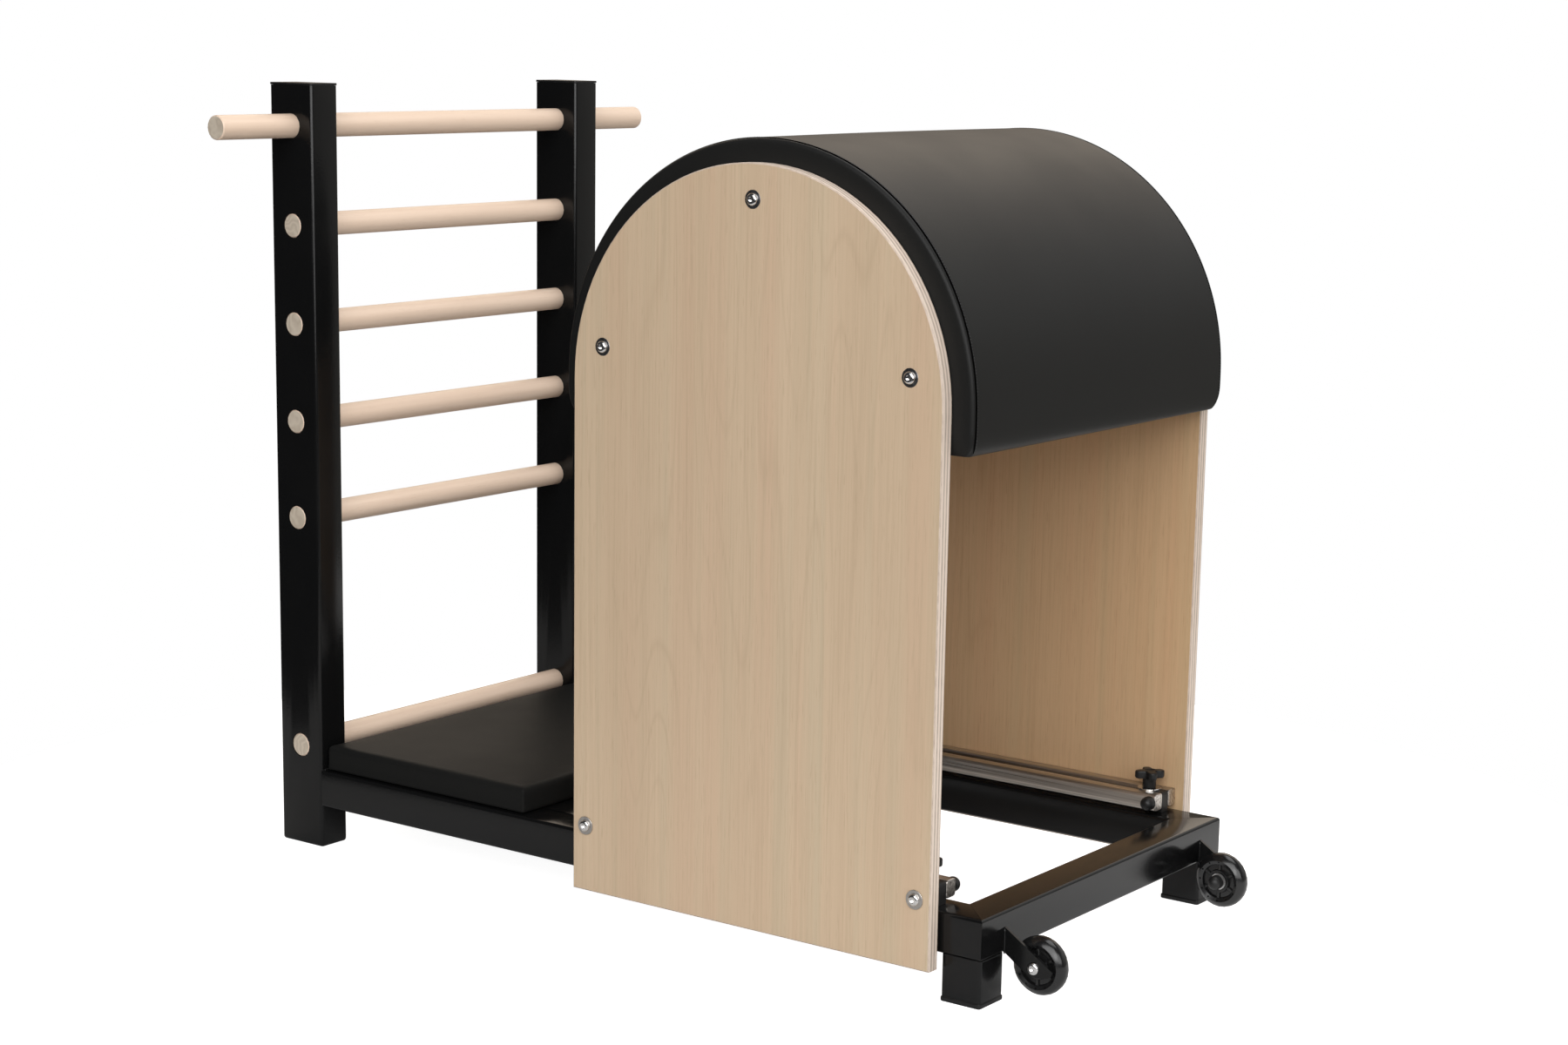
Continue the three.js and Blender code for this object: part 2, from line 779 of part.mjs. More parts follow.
function clampKnob() {
  const head = extruded(starOutline(), knobHeight, 1, knobEdge).translate(0, 0, knobBottom);
  const bossProfile = [
    [0, bossBottom],
    [bossRadius, bossBottom],
    [bossRadius, knobBottom - bossFlare],
    [bossRadius + bossFlare, knobBottom + knobEdge],
    [0, knobBottom + knobEdge],
  ];
  const top = knobBottom + knobHeight;
  const dishProfile = [
    [0, top - knobDish],
    [knobDishRadius, top],
    [knobDishRadius, top + overrun],
    [0, top + overrun],
  ];
  const [boss, dish] = [bossProfile, dishProfile].map((profile) =>
    turned(profile, boreFaces).rotateX(Math.PI / 2),
  );
  const bore = uprightPin(boltHoleRadius, bossBottom - overrun, bossBottom + knobBoreDepth, boltHoleFaces);
  return cut(joined(head, [boss]), [dish, bore]).translate(clampPlace, slotCentre, 0);
}

// Wheels
function casterPlate() {
  const root = seatGap - wheelReach;
  const lift = frameClearance - wheelHeight;
  const top = lift + casterPlateRootHeight;
  const outline = new THREE.Shape();
  outline.moveTo(root, lift + seatGap);
  outline.lineTo(-casterPlateHeel, -casterPlateToe);
  outline.quadraticCurveTo(-casterPlateToe, -casterPlateLap, casterPlateToe, -casterPlateLap);
  outline.quadraticCurveTo(casterPlateNose, -casterPlateLap, casterPlateNose, 0);
  outline.lineTo(root, top);
  const plate = extruded(outline, casterPlateThickness, 2 * cornerSteps);
  alongY(plate, casterPlateInner, casterPlateThickness);
  const [from, to] = [casterPlateInner - overrun, casterPlateOuter + overrun];
  const hole = crossHole(0, 0, boltHoleRadius, from, to, boltHoleFaces);
  return cut(plate, [hole]).translate(axlePlace, 0, wheelHeight);
}

const raceOuterFace = casterPlateInner - seatGap;
const raceInnerFace = 2 * wheelCentre - raceOuterFace;

function axleBolt() {
  const seat = casterPlateOuter + seatGap;
  const profile = [...capNut(raceInnerFace - seatGap), [boltShank, seat], ...buttonHead(seat)];
  return turned(profile, boltFaces).translate(axlePlace, 0, wheelHeight);
}

function bearing() {
  const bore = boltHoleRadius;
  const half = wheelWidth / 2 - bearingInset;
  const race = (raceOuterFace - raceInnerFace) / 2;
  const profile = [
    [bore, -race],
    [raceRadius, -race],
    [raceRadius, -half],
    [bearingRadius, -half],
    [bearingRadius, half],
    [raceRadius, half],
    [raceRadius, race],
    [bore, race],
    [bore, -race],
  ];
  return turned(profile, boreFaces).translate(axlePlace, wheelCentre, wheelHeight);
}

// Wheel with a crowned tyre on a dished core that has a ring of small vents
function wheel() {
  const bore = bearingRadius + boreClearance;
  const half = wheelWidth / 2;
  const web = webThickness / 2;
  const tread = wheelRadius - coreRadius;
  const side = [
    [bore, half - bearingInset],
    [hubRadius, half - bearingInset],
    [hubRadius + bearingInset, web],
    [coreRadius - bearingInset, web],
    ...treadShares.map(([upShare, acrossShare]) => [coreRadius + tread * upShare, half * acrossShare]),
  ];
  const mirrored = side.map(([radius, height]) => [radius, -height]);
  const profile = [...mirrored, [wheelRadius, 0], ...side.reverse(), mirrored[0]];
  const tyre = turned(profile, wheelFaces);
  const vents = Array.from({ length: ventCount }, (_, i) => {
    const angle = (i / ventCount) * Math.PI * 2;
    const x = ventRing * Math.cos(angle);
    return crossHole(x, ventRing * Math.sin(angle), ventRadius, -wheelWidth, wheelWidth, ventFaces);
  });
  return cut(tyre, vents).translate(axlePlace, wheelCentre, wheelHeight);
}

// Assembly
const part = new THREE.Group();

function add(name, geometry, material) {
  const mesh = new THREE.Mesh(geometry, material());
  mesh.name = name;
  part.add(mesh);
  return mesh;
}

// Adds a piece drawn on the right and its mirror image on the left
function addPair(name, geometry, material) {
  add(`${name}_right`, geometry, material);
  add(`${name}_left`, geometry, material).scale.y = -1;
}

addPair("side_rail", sideRail(), powderCoat);
add("front_cross_tube", frontCrossTube(), powderCoat);
add("middle_cross_tube", middleCrossTube(), powderCoat);
add("rear_cross_tube", rearCrossTube(), powderCoat);
addPair("front_leg", frontLeg(), powderCoat);
addPair("leg_foot", legFoot(), blackPlastic);
addPair("upright", upright(), powderCoat);
addPair("upright_cap", uprightCap(), blackPlastic);
add("top_bar", rung(halfWidth + topBarOverhang, topBarHeight), rungWood);
rungHeights.forEach((height, i) => add(`rung_${i + 1}`, rung(halfWidth, height), rungWood));
add("platform_board", platformBoard(), powderCoat);
add("platform_cushion", platformCushion(), blackLeather);
addPair("side_panel", sidePanel(), panelWood);
add("barrel_pad", barrelPad(), blackLeather);
add("barrel_shell", barrelShell(), birchPly);
addPair("arch_rib", archRib(), birchPly);
archBoltPlaces.forEach((place, i) => addPair(`arch_bolt_${i + 1}`, archBolt(place), chrome));
addPair("inner_bar", slideBar(innerBarCentre), chrome);
addPair("outer_bar", slideBar(outerBarCentre), chrome);
const [frontShoe, rearShoe] = shoePlaces;
addPair("front_glide_shoe", glideShoe(frontShoe), blackPlastic);
addPair("rear_glide_shoe", glideShoe(rearShoe), blackPlastic);
addPair("front_cross_bolt", crossBolt(frontShoe), chrome);
addPair("rear_cross_bolt", crossBolt(rearShoe), chrome);
addPair("clamp_bolt", clampBolt(), chrome);
addPair("clamp_washer", clampWasher(), chrome);
addPair("clamp_knob", clampKnob(), blackPlastic);
addPair("caster_plate", casterPlate(), powderCoat);
addPair("axle_bolt", axleBolt(), chrome);
addPair("bearing", bearing(), chrome);
addPair("wheel", wheel(), wheelRubber);

// The origin lies on the floor, under the middle of the whole
part.position.x = -(frontmost + rearmost) / 2;

export default part;
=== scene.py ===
"""Looks of the pilates ladder barrel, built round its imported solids.

Metres, in the part's own frame: X runs from the ladder to the wheels, Y across, and Z up from the floor.
"""

import json
import math

import bmesh
import bpy
from mathutils import Matrix, Vector

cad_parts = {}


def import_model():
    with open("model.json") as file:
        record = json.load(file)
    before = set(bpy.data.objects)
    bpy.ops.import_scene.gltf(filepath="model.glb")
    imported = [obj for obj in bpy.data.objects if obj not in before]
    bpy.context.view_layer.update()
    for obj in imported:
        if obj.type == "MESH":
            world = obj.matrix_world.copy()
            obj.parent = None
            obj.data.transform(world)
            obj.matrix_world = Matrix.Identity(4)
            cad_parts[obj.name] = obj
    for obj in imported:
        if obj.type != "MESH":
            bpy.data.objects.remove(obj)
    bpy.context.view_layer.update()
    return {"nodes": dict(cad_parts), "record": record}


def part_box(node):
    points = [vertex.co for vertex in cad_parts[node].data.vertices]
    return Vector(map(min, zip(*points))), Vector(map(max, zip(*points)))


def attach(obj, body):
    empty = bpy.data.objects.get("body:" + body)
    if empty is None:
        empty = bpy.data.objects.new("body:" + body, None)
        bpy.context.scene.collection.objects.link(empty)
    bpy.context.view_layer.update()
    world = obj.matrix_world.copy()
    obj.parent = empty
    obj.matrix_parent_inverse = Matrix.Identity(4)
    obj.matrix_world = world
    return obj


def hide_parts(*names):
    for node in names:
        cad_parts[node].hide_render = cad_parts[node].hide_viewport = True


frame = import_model()

MM = 0.001
SIDES = {"right": 1, "left": -1}

# Camera, as the photograph was taken
CAMERA_PLACE = (2.3206, -3.1295, 1.1593)
CAMERA_AZIMUTH = 0.628
CAMERA_DROP = 0.194
CAMERA_ROLL = 0.017
CAMERA_LENS = 66.68
CAMERA_SENSOR = 36
CAMERA_SHIFT = (-0.0058, 0.046)

# Colours, linear
COAT_BLACK = ((0.0032, 0.0034, 0.0036), (0.0058, 0.0058, 0.0058))
PLASTIC_BLACK = ((0.005, 0.005, 0.0053), (0.0095, 0.0095, 0.0095))
LEATHER_BLACK = ((0.0088, 0.0091, 0.0088), (0.0128, 0.0126, 0.0121))
# Painted shade in the pad's seam grooves, near black
SEAM_SHADOW_SHADES = ((0.001, 0.001, 0.001), (0.002, 0.002, 0.002))
THREAD_SHADES = ((0.03, 0.03, 0.03), (0.07, 0.07, 0.068))
PANEL_LIGHT = (0.6, 0.46, 0.318)
PANEL_MIDDLE = (0.565, 0.425, 0.289)
PANEL_DARK = (0.43, 0.31, 0.2)
PANEL_WARM = (0.58, 0.418, 0.286)
PANEL_COOL = (0.548, 0.443, 0.306)
# Painted shade: multiplies the panels' inner faces darker and warmer, for the shade they lie in under the pad
INNER_SHADE_TINT = (1.0, 0.87, 0.72)
PLY_LIGHT = (0.78, 0.66, 0.56)
PLY_DARK = (0.4, 0.31, 0.245)
BEECH_LIGHT = (0.84, 0.66, 0.52)
BEECH_DARK = (0.7, 0.52, 0.39)
BEECH_END = ((0.6, 0.52, 0.42), (0.5, 0.42, 0.33))
STEEL = ((0.62, 0.61, 0.6), (0.78, 0.775, 0.77))
# Painted reflection: warm, high-contrast shades for the bars' bands, standing in for the wood panels and
# lights that they reflect, over brushed streaks
BAR_SHADES_AND_REFLECTIONS = ((0.2, 0.175, 0.155), (0.8, 0.755, 0.7))
DARK_STEEL = ((0.14, 0.14, 0.145), (0.26, 0.26, 0.265))
PALE_STEEL = ((0.4, 0.38, 0.36), (0.52, 0.5, 0.48))
RUBBER_BLACK = ((0.004, 0.004, 0.0045), (0.009, 0.009, 0.009))
FLOOR_WHITE = ((0.6, 0.6, 0.6), (0.63, 0.63, 0.63))

# Patterns of the finishes, as how often they repeat in a metre along X, Y and Z
COAT_CLOUDS = (9, 9, 9)
COAT_SPECKS = (300, 300, 300)
PLASTIC_CLOUDS = (40, 40, 40)
PLASTIC_GRIT = (1500, 1500, 1500)
LEATHER_CLOUDS = (5, 5, 5)
LEATHER_PEBBLES = (620, 620, 620)
LEATHER_CREASES = (260, 260, 260)
THREAD_TWIST = (1800, 1800, 1800)
PANEL_GRAIN = (330, 330, 4)
PANEL_STREAKS = (60, 60, 0.9)
PANEL_TINTS = (30, 30, 0.5)
PANEL_BROAD_TINTS = (6, 6, 0.5)
PANEL_DASHES = (700, 700, 30)
PANEL_CATHEDRALS = (9, 9, 0.85)
PANEL_FADES = (4.5, 4.5, 1.3)
PLY_WANDER = (6, 6, 6)
PLY_GRAIN = (90, 500, 90)
RUNG_GRAIN = (120, 2.6, 120)
RUNG_FLECKS = (700, 45, 700)
RUNG_TINTS = (14, 1.1, 14)
SHELL_GRAIN = (90, 3, 90)
BOLT_SPECKS = (300, 300, 300)
BEARING_SPECKS = (400, 400, 400)
WASHER_SPECKS = (260, 260, 260)
# Bands along the bars: partly brushed streaks, partly painted reflections of the panels and lights
BAR_STREAKS_AND_REFLECTION_BANDS = (2, 260, 260)
WHEEL_CLOUDS = (60, 60, 60)
WHEEL_RIPPLES = (150, 150, 150)
FLOOR_CLOUDS = (3, 3, 3)

# Depths of the fine relief on each finish
COAT_RELIEF = 0.14 * MM
PLASTIC_RELIEF = 0.05 * MM
LEATHER_RELIEF = 0.1 * MM
THREAD_RELIEF = 0.1 * MM
PANEL_RELIEF = 0.04 * MM
RUNG_RELIEF = 0.05 * MM
PLYWOOD_RELIEF = 0.1 * MM
STEEL_RELIEF = 0.02 * MM
WHEEL_RELIEF = 0.14 * MM

# Plies across each metre of a board's thickness, counted with the dark ones between them
PANEL_PLIES = 330
SHELL_PLIES = 700

# Studio, with each light's place, what it faces, its width and height, and its power
KEY_LIGHT = ((1.7, -3.7, 2.9), (0.1, 0, 0.5), (4.2, 3.4), 180)
FILL_LIGHT = ((3.5, -2.3, 1.6), (0.2, 0, 0.5), (3.2, 2.2), 66)
TOP_LIGHT = ((0.7, 0.6, 3.4), (0.2, 0, 0.6), (2.6, 2.2), 50)
FLOOR_REACH = 1.3
FLOOR_STEPS = 48
FLOOR_GLOW = (0.06, 0.72)
FLOOR_SEEN_GLOW = 0.93
BEHIND_LEFT = (-0.577, 0.794, 0.193)
BEHIND_RIGHT = (0.577, 0.794, -0.193)
ROOM_DARK = (0.05, 0.05, 0.052)
GLOW_LEFT = (0.1, 0.084, 0.064)
GLOW_LEFT_HIGH = (2.6, 2.24, 1.86)
GLOW_RIGHT = (0.4, 0.385, 0.36)
GLOW_RIGHT_HIGH = (1.4, 1.4, 1.4)

# Angles between faces, in degrees, over which the edge between them stays sharp
EDGE_ANGLE = 35
NODE_ANGLE = 28
SOFT_ANGLE = 60
WASHER_ANGLE = 25
KNOB_ANGLE = 50
SPOKE_ANGLE = 40

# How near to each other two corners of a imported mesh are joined
MERGE_REACH = 0.001 * MM

# Bolts
HEAD_HEIGHT = 4.2 * MM
HEAD_RADIUS = 7.8 * MM
HEAD_FLAT = 3.7 * MM
HEAD_RIM = 0.6 * MM
SOCKET_APOTHEM = 2.5 * MM
SOCKET_MOUTH = 3.1 * MM
SOCKET_DEPTH = 2.6 * MM
SOCKET_CHAMFER = 0.4 * MM
WASHER_THICKNESS = 1.5 * MM
WASHER_EDGE = 0.3 * MM
ARCH_WASHER_RADIUS = 11.5 * MM
LOW_WASHER_RADIUS = 12 * MM
SHANK_RADIUS = 4 * MM
NUT_APOTHEM = 6.6 * MM
NUT_LENGTH = 6 * MM
COVER_RADIUS = 9.5 * MM
COVER_LENGTH = 15 * MM
COVER_DOME = 9 * MM
HEAD_STEPS = 7
COVER_STEPS = 10
BOLT_STEPS = 48

# Knobs and wheels
BOSS_RADIUS = 9.2 * MM
KNOB_HEIGHT = 10.5 * MM
KNOB_FLARE = 2 * MM
KNOB_EDGE = 2.2 * MM
KNOB_DISH = 1.8 * MM
KNOB_DISH_RADIUS = 7.5 * MM
KNOB_CORE = 10 * MM
ARM_HALF = 6 * MM
ARM_BLEND = 8
KNOB_NECK_SHARES = (0.12, 0.35)
KNOB_NECK_RISE = 1 / 3
KNOB_TOP_SHARE = 0.4
KNOB_EDGE_STEPS = 4
KNOB_STEPS = 96
SPOKE_COUNT = 6
SPOKE_HALF = 1.8 * MM
SPOKE_FROM = 15.5 * MM
SPOKE_TO = 22.8 * MM
SPOKE_RISE = 3.2 * MM
SPOKE_SINK = 0.4 * MM
SPOKE_SECTION = ((1.5, 0), (1.15, 0.8), (0.75, 1), (-0.75, 1), (-1.15, 0.8), (-1.5, 0))
GROOVE_HALF = 6.5 * MM

# Welds
BEAD_RIPPLE = 3.2 * MM
BEAD_RIPPLE_STEPS = 4
BEAD_WAVE = 0.14
BEAD_LEAST = 0.1
BEAD_SIDES = 8
BEAD_INSET = 4 * MM
LEG_BEAD = 1.1 * MM
PLATE_BEAD = 1.5 * MM
PLATE_BEAD_GAP = 0.5 * MM
PLATE_BEAD_FROM = 34 * MM
PLATE_BEAD_TO = 2 * MM
RAIL_BEAD = 1.8 * MM
TUBE_BEAD = 2 * MM

# Pad
PAD_EDGE = 6.5 * MM
PAD_CROWN = 1 * MM
PAD_GROWTH = 1.5 * MM
PAD_DROOP = 3.5 * MM
PAD_TUCK = 12 * MM
PAD_TUCK_HEIGHT = 32 * MM
PAD_TUCK_SIDES = 0.6
PAD_SEAM_INSET = 6.5 * MM
PAD_INNER_RADIUS = 264 * MM
PAD_HELD_RADIUS = 284 * MM
PAD_HELD_EDGE = 12 * MM
PAD_SWELL = 2 * MM
PAD_INNER_CORNER = 2 * MM
PAD_INNER_SHARES = (0.33, 0.66)
PAD_SIDE_SHARES = (0.2, 0.4, 0.6, 0.8)
PAD_SEAM_OFFSETS = [offset * MM for offset in (0.0, 0.8, 1.6, 2.6, 3.8, 5.5, 8.0, 12.0)]
PAD_TOP_SHARES = (0.9, 0.84, 0.76, 0.67, 0.57, 0.47, 0.36, 0.24, 0.12)
PAD_ARCH_STEPS = 96
PAD_SKIRT_STEPS = 2
PAD_EDGE_STEPS = 6
PAD_TUCK_STEPS = 10

# Pad's seams and stitches
SEAM_DEPTH = 1.8 * MM
SEAM_REACH = 1.5 * MM
# A near-black tube laid in each seam's groove as painted shade
SEAM_LINE_RADIUS = 0.8 * MM
SEAM_LINE_SINK = 0.7
SEAM_LINE_SIDES = 8
SEAM_LINE_STEPS = 240
STITCH_PITCH = 3.6 * MM
STITCH_LENGTH = 2.4 * MM
STITCH_RADIUS = 0.4 * MM
STITCH_INSET = 1.9 * MM
STITCH_BOW = 1.6
STITCH_SINK = 0.55
STITCH_DIP = 0.5
STITCH_THIN = 0.55
STITCH_STEPS = 6
STITCH_SIDES = 6

# Cushion
CUSHION_EDGE = 8 * MM
CUSHION_SKIRT = 7.8 * MM
CUSHION_WALL = 8 * MM
CUSHION_CORNER = 4 * MM
CUSHION_CROWN = 0.8 * MM
CUSHION_SWELL = 1 * MM
CUSHION_LIP = 1 * MM
CUSHION_HEM = ((2.5 * MM, 0.0), (0.8 * MM, 0.8 * MM), (0.2 * MM, 3 * MM))
CUSHION_SIDE_SHARES = (0.35, 0.6, 0.8)
CUSHION_HELD_HEIGHT = 1 * MM
CUSHION_LEAST_CORNER = 1 * MM
CUSHION_STEPS = (30, 48)
CUSHION_EDGE_STEPS = 5
CORNER_STEPS = 4

# Cloth simulation
CLOTH_FRAMES = 20
CLOTH_PRESSURE = 4


class Nodes:
    """A node tree whose nodes are added by short calls."""

    def __init__(self, tree):
        self.tree = tree

    def add(self, kind, inputs=None, **settings):
        """Adds a node. Each input is a socket to link or a value to set."""
        node = self.tree.nodes.new(kind)
        for key, value in settings.items():
            setattr(node, key, value)
        for key, value in (inputs or {}).items():
            if isinstance(value, bpy.types.NodeSocket):
                self.tree.links.new(value, node.inputs[key])
            else:
                node.inputs[key].default_value = value
        return node

    def calculate(self, operation, first, second=0.0):
        values = {0: first, 1: second}
        return self.add("ShaderNodeMath", values, operation=operation).outputs[0]

    def spread(self, value, low, high, to_low=0.0, to_high=1.0):
        values = {"Value": value, "From Min": low, "From Max": high, "To Min": to_low, "To Max": to_high}
        return self.add("ShaderNodeMapRange", values).outputs["Result"]

    def blend(self, share, first, second, mode="MIX"):
        node = self.add("ShaderNodeMix", {0: share}, data_type="RGBA", blend_type=mode)
        for socket, value in ((node.inputs[6], first), (node.inputs[7], second)):
            if isinstance(value, bpy.types.NodeSocket):
                self.tree.links.new(value, socket)
            else:
                socket.default_value = (*value, 1)
        return node.outputs[2]

    def toward(self, vector, direction):
        values = {0: vector, 1: direction}
        return self.add("ShaderNodeVectorMath", values, operation="DOT_PRODUCT").outputs["Value"]


class Surface(Nodes):
    """A material on coordinates fixed to the object. Keywords set the shader's sockets of those names."""

    def __init__(self, name, **values):
        self.material = bpy.data.materials.new(name)
        self.material.use_nodes = True
        super().__init__(self.material.node_tree)
        self.shader = self.tree.nodes["Principled BSDF"]
        self.coordinates = self.tree.nodes.new("ShaderNodeTexCoord")
        for key, value in values.items():
            socket = key.replace("_", " ").title().replace("Ior", "IOR")
            self.shader.inputs[socket].default_value = value

    def stretched(self, scale):
        place = {"Vector": self.coordinates.outputs["Object"], "Scale": scale}
        return self.add("ShaderNodeMapping", place).outputs["Vector"]

    def noise(self, scale, detail=4, roughness=0.5, distortion=0):
        values = {"Vector": self.stretched(scale), "Scale": 1, "Detail": detail}
        values |= {"Roughness": roughness, "Distortion": distortion}
        return self.add("ShaderNodeTexNoise", values).outputs["Fac"]

    def cells(self, scale):
        values = {"Vector": self.stretched(scale), "Scale": 1}
        return self.add("ShaderNodeTexVoronoi", values).outputs["Distance"]

    def colour(self, value):
        self.tree.links.new(value, self.shader.inputs["Base Color"])

    def roughen(self, value):
        self.tree.links.new(value, self.shader.inputs["Roughness"])

    def bump(self, height, depth, strength=1.0):
        values = {"Height": height, "Distance": depth, "Strength": strength}
        normal = self.add("ShaderNodeBump", values).outputs["Normal"]
        self.tree.links.new(normal, self.shader.inputs["Normal"])

    def axes(self):
        place = {"Vector": self.coordinates.outputs["Object"]}
        return self.add("ShaderNodeSeparateXYZ", place).outputs

    def facing(self, axis):
        """1 where the surface faces along an axis, either way, and 0 where it runs along it."""
        split = self.add("ShaderNodeSeparateXYZ", {"Vector": self.coordinates.outputs["Normal"]})
        return self.calculate("ABSOLUTE", split.outputs[axis])


# Places read from the frame
pad_low, pad_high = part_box("barrel_pad")
cushion_low, cushion_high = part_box("platform_cushion")
panel_low, panel_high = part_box("side_panel_right")
PANEL_MIDDLE_PLACE = (panel_low.y + panel_high.y) / 2
PAD_MIDDLE = (pad_low.x + pad_high.x) / 2
PAD_RADIUS = (pad_high.x - pad_low.x) / 2 + PAD_GROWTH
PAD_SPRING = pad_high.z + PAD_GROWTH - PAD_RADIUS
PAD_SKIRT = PAD_SPRING - pad_low.z + PAD_DROOP
PAD_HALF = pad_high.y
PAD_SEAM = PAD_HALF - PAD_SEAM_INSET
SEAM_SKIRT = PAD_SKIRT - SEAM_LINE_RADIUS


# Materials
def powder_coat():
    surface = Surface("powder_coat", specular_ior_level=0.28)
    cloudy = surface.noise(COAT_CLOUDS, detail=3)
    surface.colour(surface.blend(cloudy, *COAT_BLACK))
    surface.roughen(surface.spread(cloudy, 0.3, 0.7, 0.13, 0.2))
    surface.bump(surface.noise(COAT_SPECKS, detail=4, roughness=0.6), COAT_RELIEF, 0.7)
    return surface.material


def black_plastic():
    surface = Surface("black_plastic", specular_ior_level=0.35)
    cloudy = surface.noise(PLASTIC_CLOUDS, detail=3)
    surface.colour(surface.blend(cloudy, *PLASTIC_BLACK))
    surface.roughen(surface.spread(cloudy, 0.3, 0.7, 0.36, 0.5))
    surface.bump(surface.noise(PLASTIC_GRIT, detail=2), PLASTIC_RELIEF, 0.5)
    return surface.material


def black_leather(name, specular):
    surface = Surface(name, specular_ior_level=specular)
    cloudy = surface.noise(LEATHER_CLOUDS, detail=4)
    surface.colour(surface.blend(cloudy, *LEATHER_BLACK))
    surface.roughen(surface.spread(cloudy, 0.3, 0.7, 0.4, 0.48))
    pebbles = surface.cells(LEATHER_PEBBLES)
    creases = surface.noise(LEATHER_CREASES, detail=6, roughness=0.65)
    height = surface.calculate("ADD", pebbles, creases)
    surface.bump(height, LEATHER_RELIEF, 0.45)
    return surface.material


# Also makes the seam's painted shade line, with near-black shades and no shine
def thread(name, shades, specular):
    surface = Surface(name, roughness=0.5, specular_ior_level=specular)
    twist = surface.noise(THREAD_TWIST, detail=2)
    surface.colour(surface.blend(twist, *shades))
    surface.bump(twist, THREAD_RELIEF, 0.6)
    return surface.material


def ply_stripes(surface, across, plies_per_metre):
    """Pale plies and thin darker ones between them, across a board's thickness."""
    wander = surface.noise(PLY_WANDER, detail=3)
    place = surface.calculate("MULTIPLY", across, plies_per_metre)
    place = surface.calculate("ADD", place, surface.calculate("MULTIPLY", wander, 0.35))
    ply = surface.calculate("PINGPONG", place, 1)
    grain = surface.noise(PLY_GRAIN, detail=5, roughness=0.6)
    share = surface.spread(ply, 0.42, 0.66)
    mottled = surface.calculate("MULTIPLY", share, surface.spread(grain, 0.2, 0.7, 0.4, 1))
    return surface.blend(mottled, PLY_LIGHT, PLY_DARK)


def panel_wood():
    """Laminate with a fine upright grain, broad tints and faint cathedrals, bare plies on the edges, and
    painted shade that tints the inner faces darker and warmer.
    """
    surface = Surface("panel_wood", specular_ior_level=0.4)
    fine = surface.noise(PANEL_GRAIN, detail=6, roughness=0.66)
    middle = surface.noise(PANEL_STREAKS, detail=4, roughness=0.6, distortion=0.2)
    tint = surface.noise(PANEL_TINTS, detail=3, roughness=0.6)
    broad = surface.noise(PANEL_BROAD_TINTS, detail=2)
    dashes = surface.noise(PANEL_DASHES, detail=2)
    rings = surface.calculate("MULTIPLY", surface.noise(PANEL_CATHEDRALS, detail=1), 15)
    line = surface.spread(surface.calculate("PINGPONG", rings, 0.5), 0.0, 0.11, 1, 0)
    fade = surface.spread(surface.noise(PANEL_FADES, detail=2), 0.46, 0.62)
    faint = surface.calculate("MULTIPLY", line, surface.calculate("MULTIPLY", fade, 0.3))
    base = surface.blend(surface.spread(middle, 0.32, 0.68), PANEL_LIGHT, PANEL_MIDDLE)
    base = surface.blend(surface.spread(tint, 0.34, 0.48, 0.75, 0), base, PANEL_WARM)
    base = surface.blend(surface.spread(tint, 0.52, 0.66, 0, 0.8), base, PANEL_COOL)
    base = surface.blend(surface.spread(broad, 0.45, 0.65, 0, 0.16), base, PANEL_DARK)
    base = surface.blend(surface.spread(fine, 0.46, 0.72, 0, 0.4), base, PANEL_DARK)
    base = surface.blend(faint, base, PANEL_DARK)
    base = surface.blend(surface.spread(dashes, 0.61, 0.7, 0, 0.42), base, PANEL_DARK)
    across = surface.axes()["Y"]
    # Painted shade: the inner faces, in the pad's shade, are multiplied by a darker, warmer tint
    inside = surface.calculate("LESS_THAN", surface.calculate("ABSOLUTE", across), PANEL_MIDDLE_PLACE)
    base = surface.blend(inside, base, surface.blend(1.0, base, INNER_SHADE_TINT, "MULTIPLY"))
    plies = ply_stripes(surface, across, PANEL_PLIES)
    face = surface.spread(surface.facing("Y"), 0.85, 0.95)
    surface.colour(surface.blend(face, plies, base))
    surface.roughen(surface.spread(fine, 0.3, 0.7, 0.42, 0.5))
    surface.bump(fine, PANEL_RELIEF, 0.4)
    return surface.material


def rung_wood():
    """Pale beech with its grain along Y, short flecks and rings on its ends."""
    surface = Surface("rung_wood", roughness=0.42)
    grain = surface.noise(RUNG_GRAIN, detail=5, roughness=0.6)
    flecks = surface.noise(RUNG_FLECKS, detail=2)
    tint = surface.noise(RUNG_TINTS, detail=3)
    base = surface.blend(surface.spread(grain, 0.35, 0.7, 0, 0.55), BEECH_LIGHT, BEECH_DARK)
    base = surface.blend(surface.spread(tint, 0.4, 0.62, 0, 0.35), base, BEECH_DARK)
    base = surface.blend(surface.spread(flecks, 0.62, 0.7, 0, 0.5), base, BEECH_DARK)
    rings = surface.calculate("PINGPONG", surface.calculate("MULTIPLY", tint, 30), 1)
    end = surface.blend(surface.spread(rings, 0.1, 0.9), *BEECH_END)
    surface.colour(surface.blend(surface.spread(surface.facing("Y"), 0.85, 0.95), base, end))
    surface.roughen(surface.spread(grain, 0.3, 0.7, 0.38, 0.48))
    surface.bump(grain, RUNG_RELIEF, 0.4)
    return surface.material


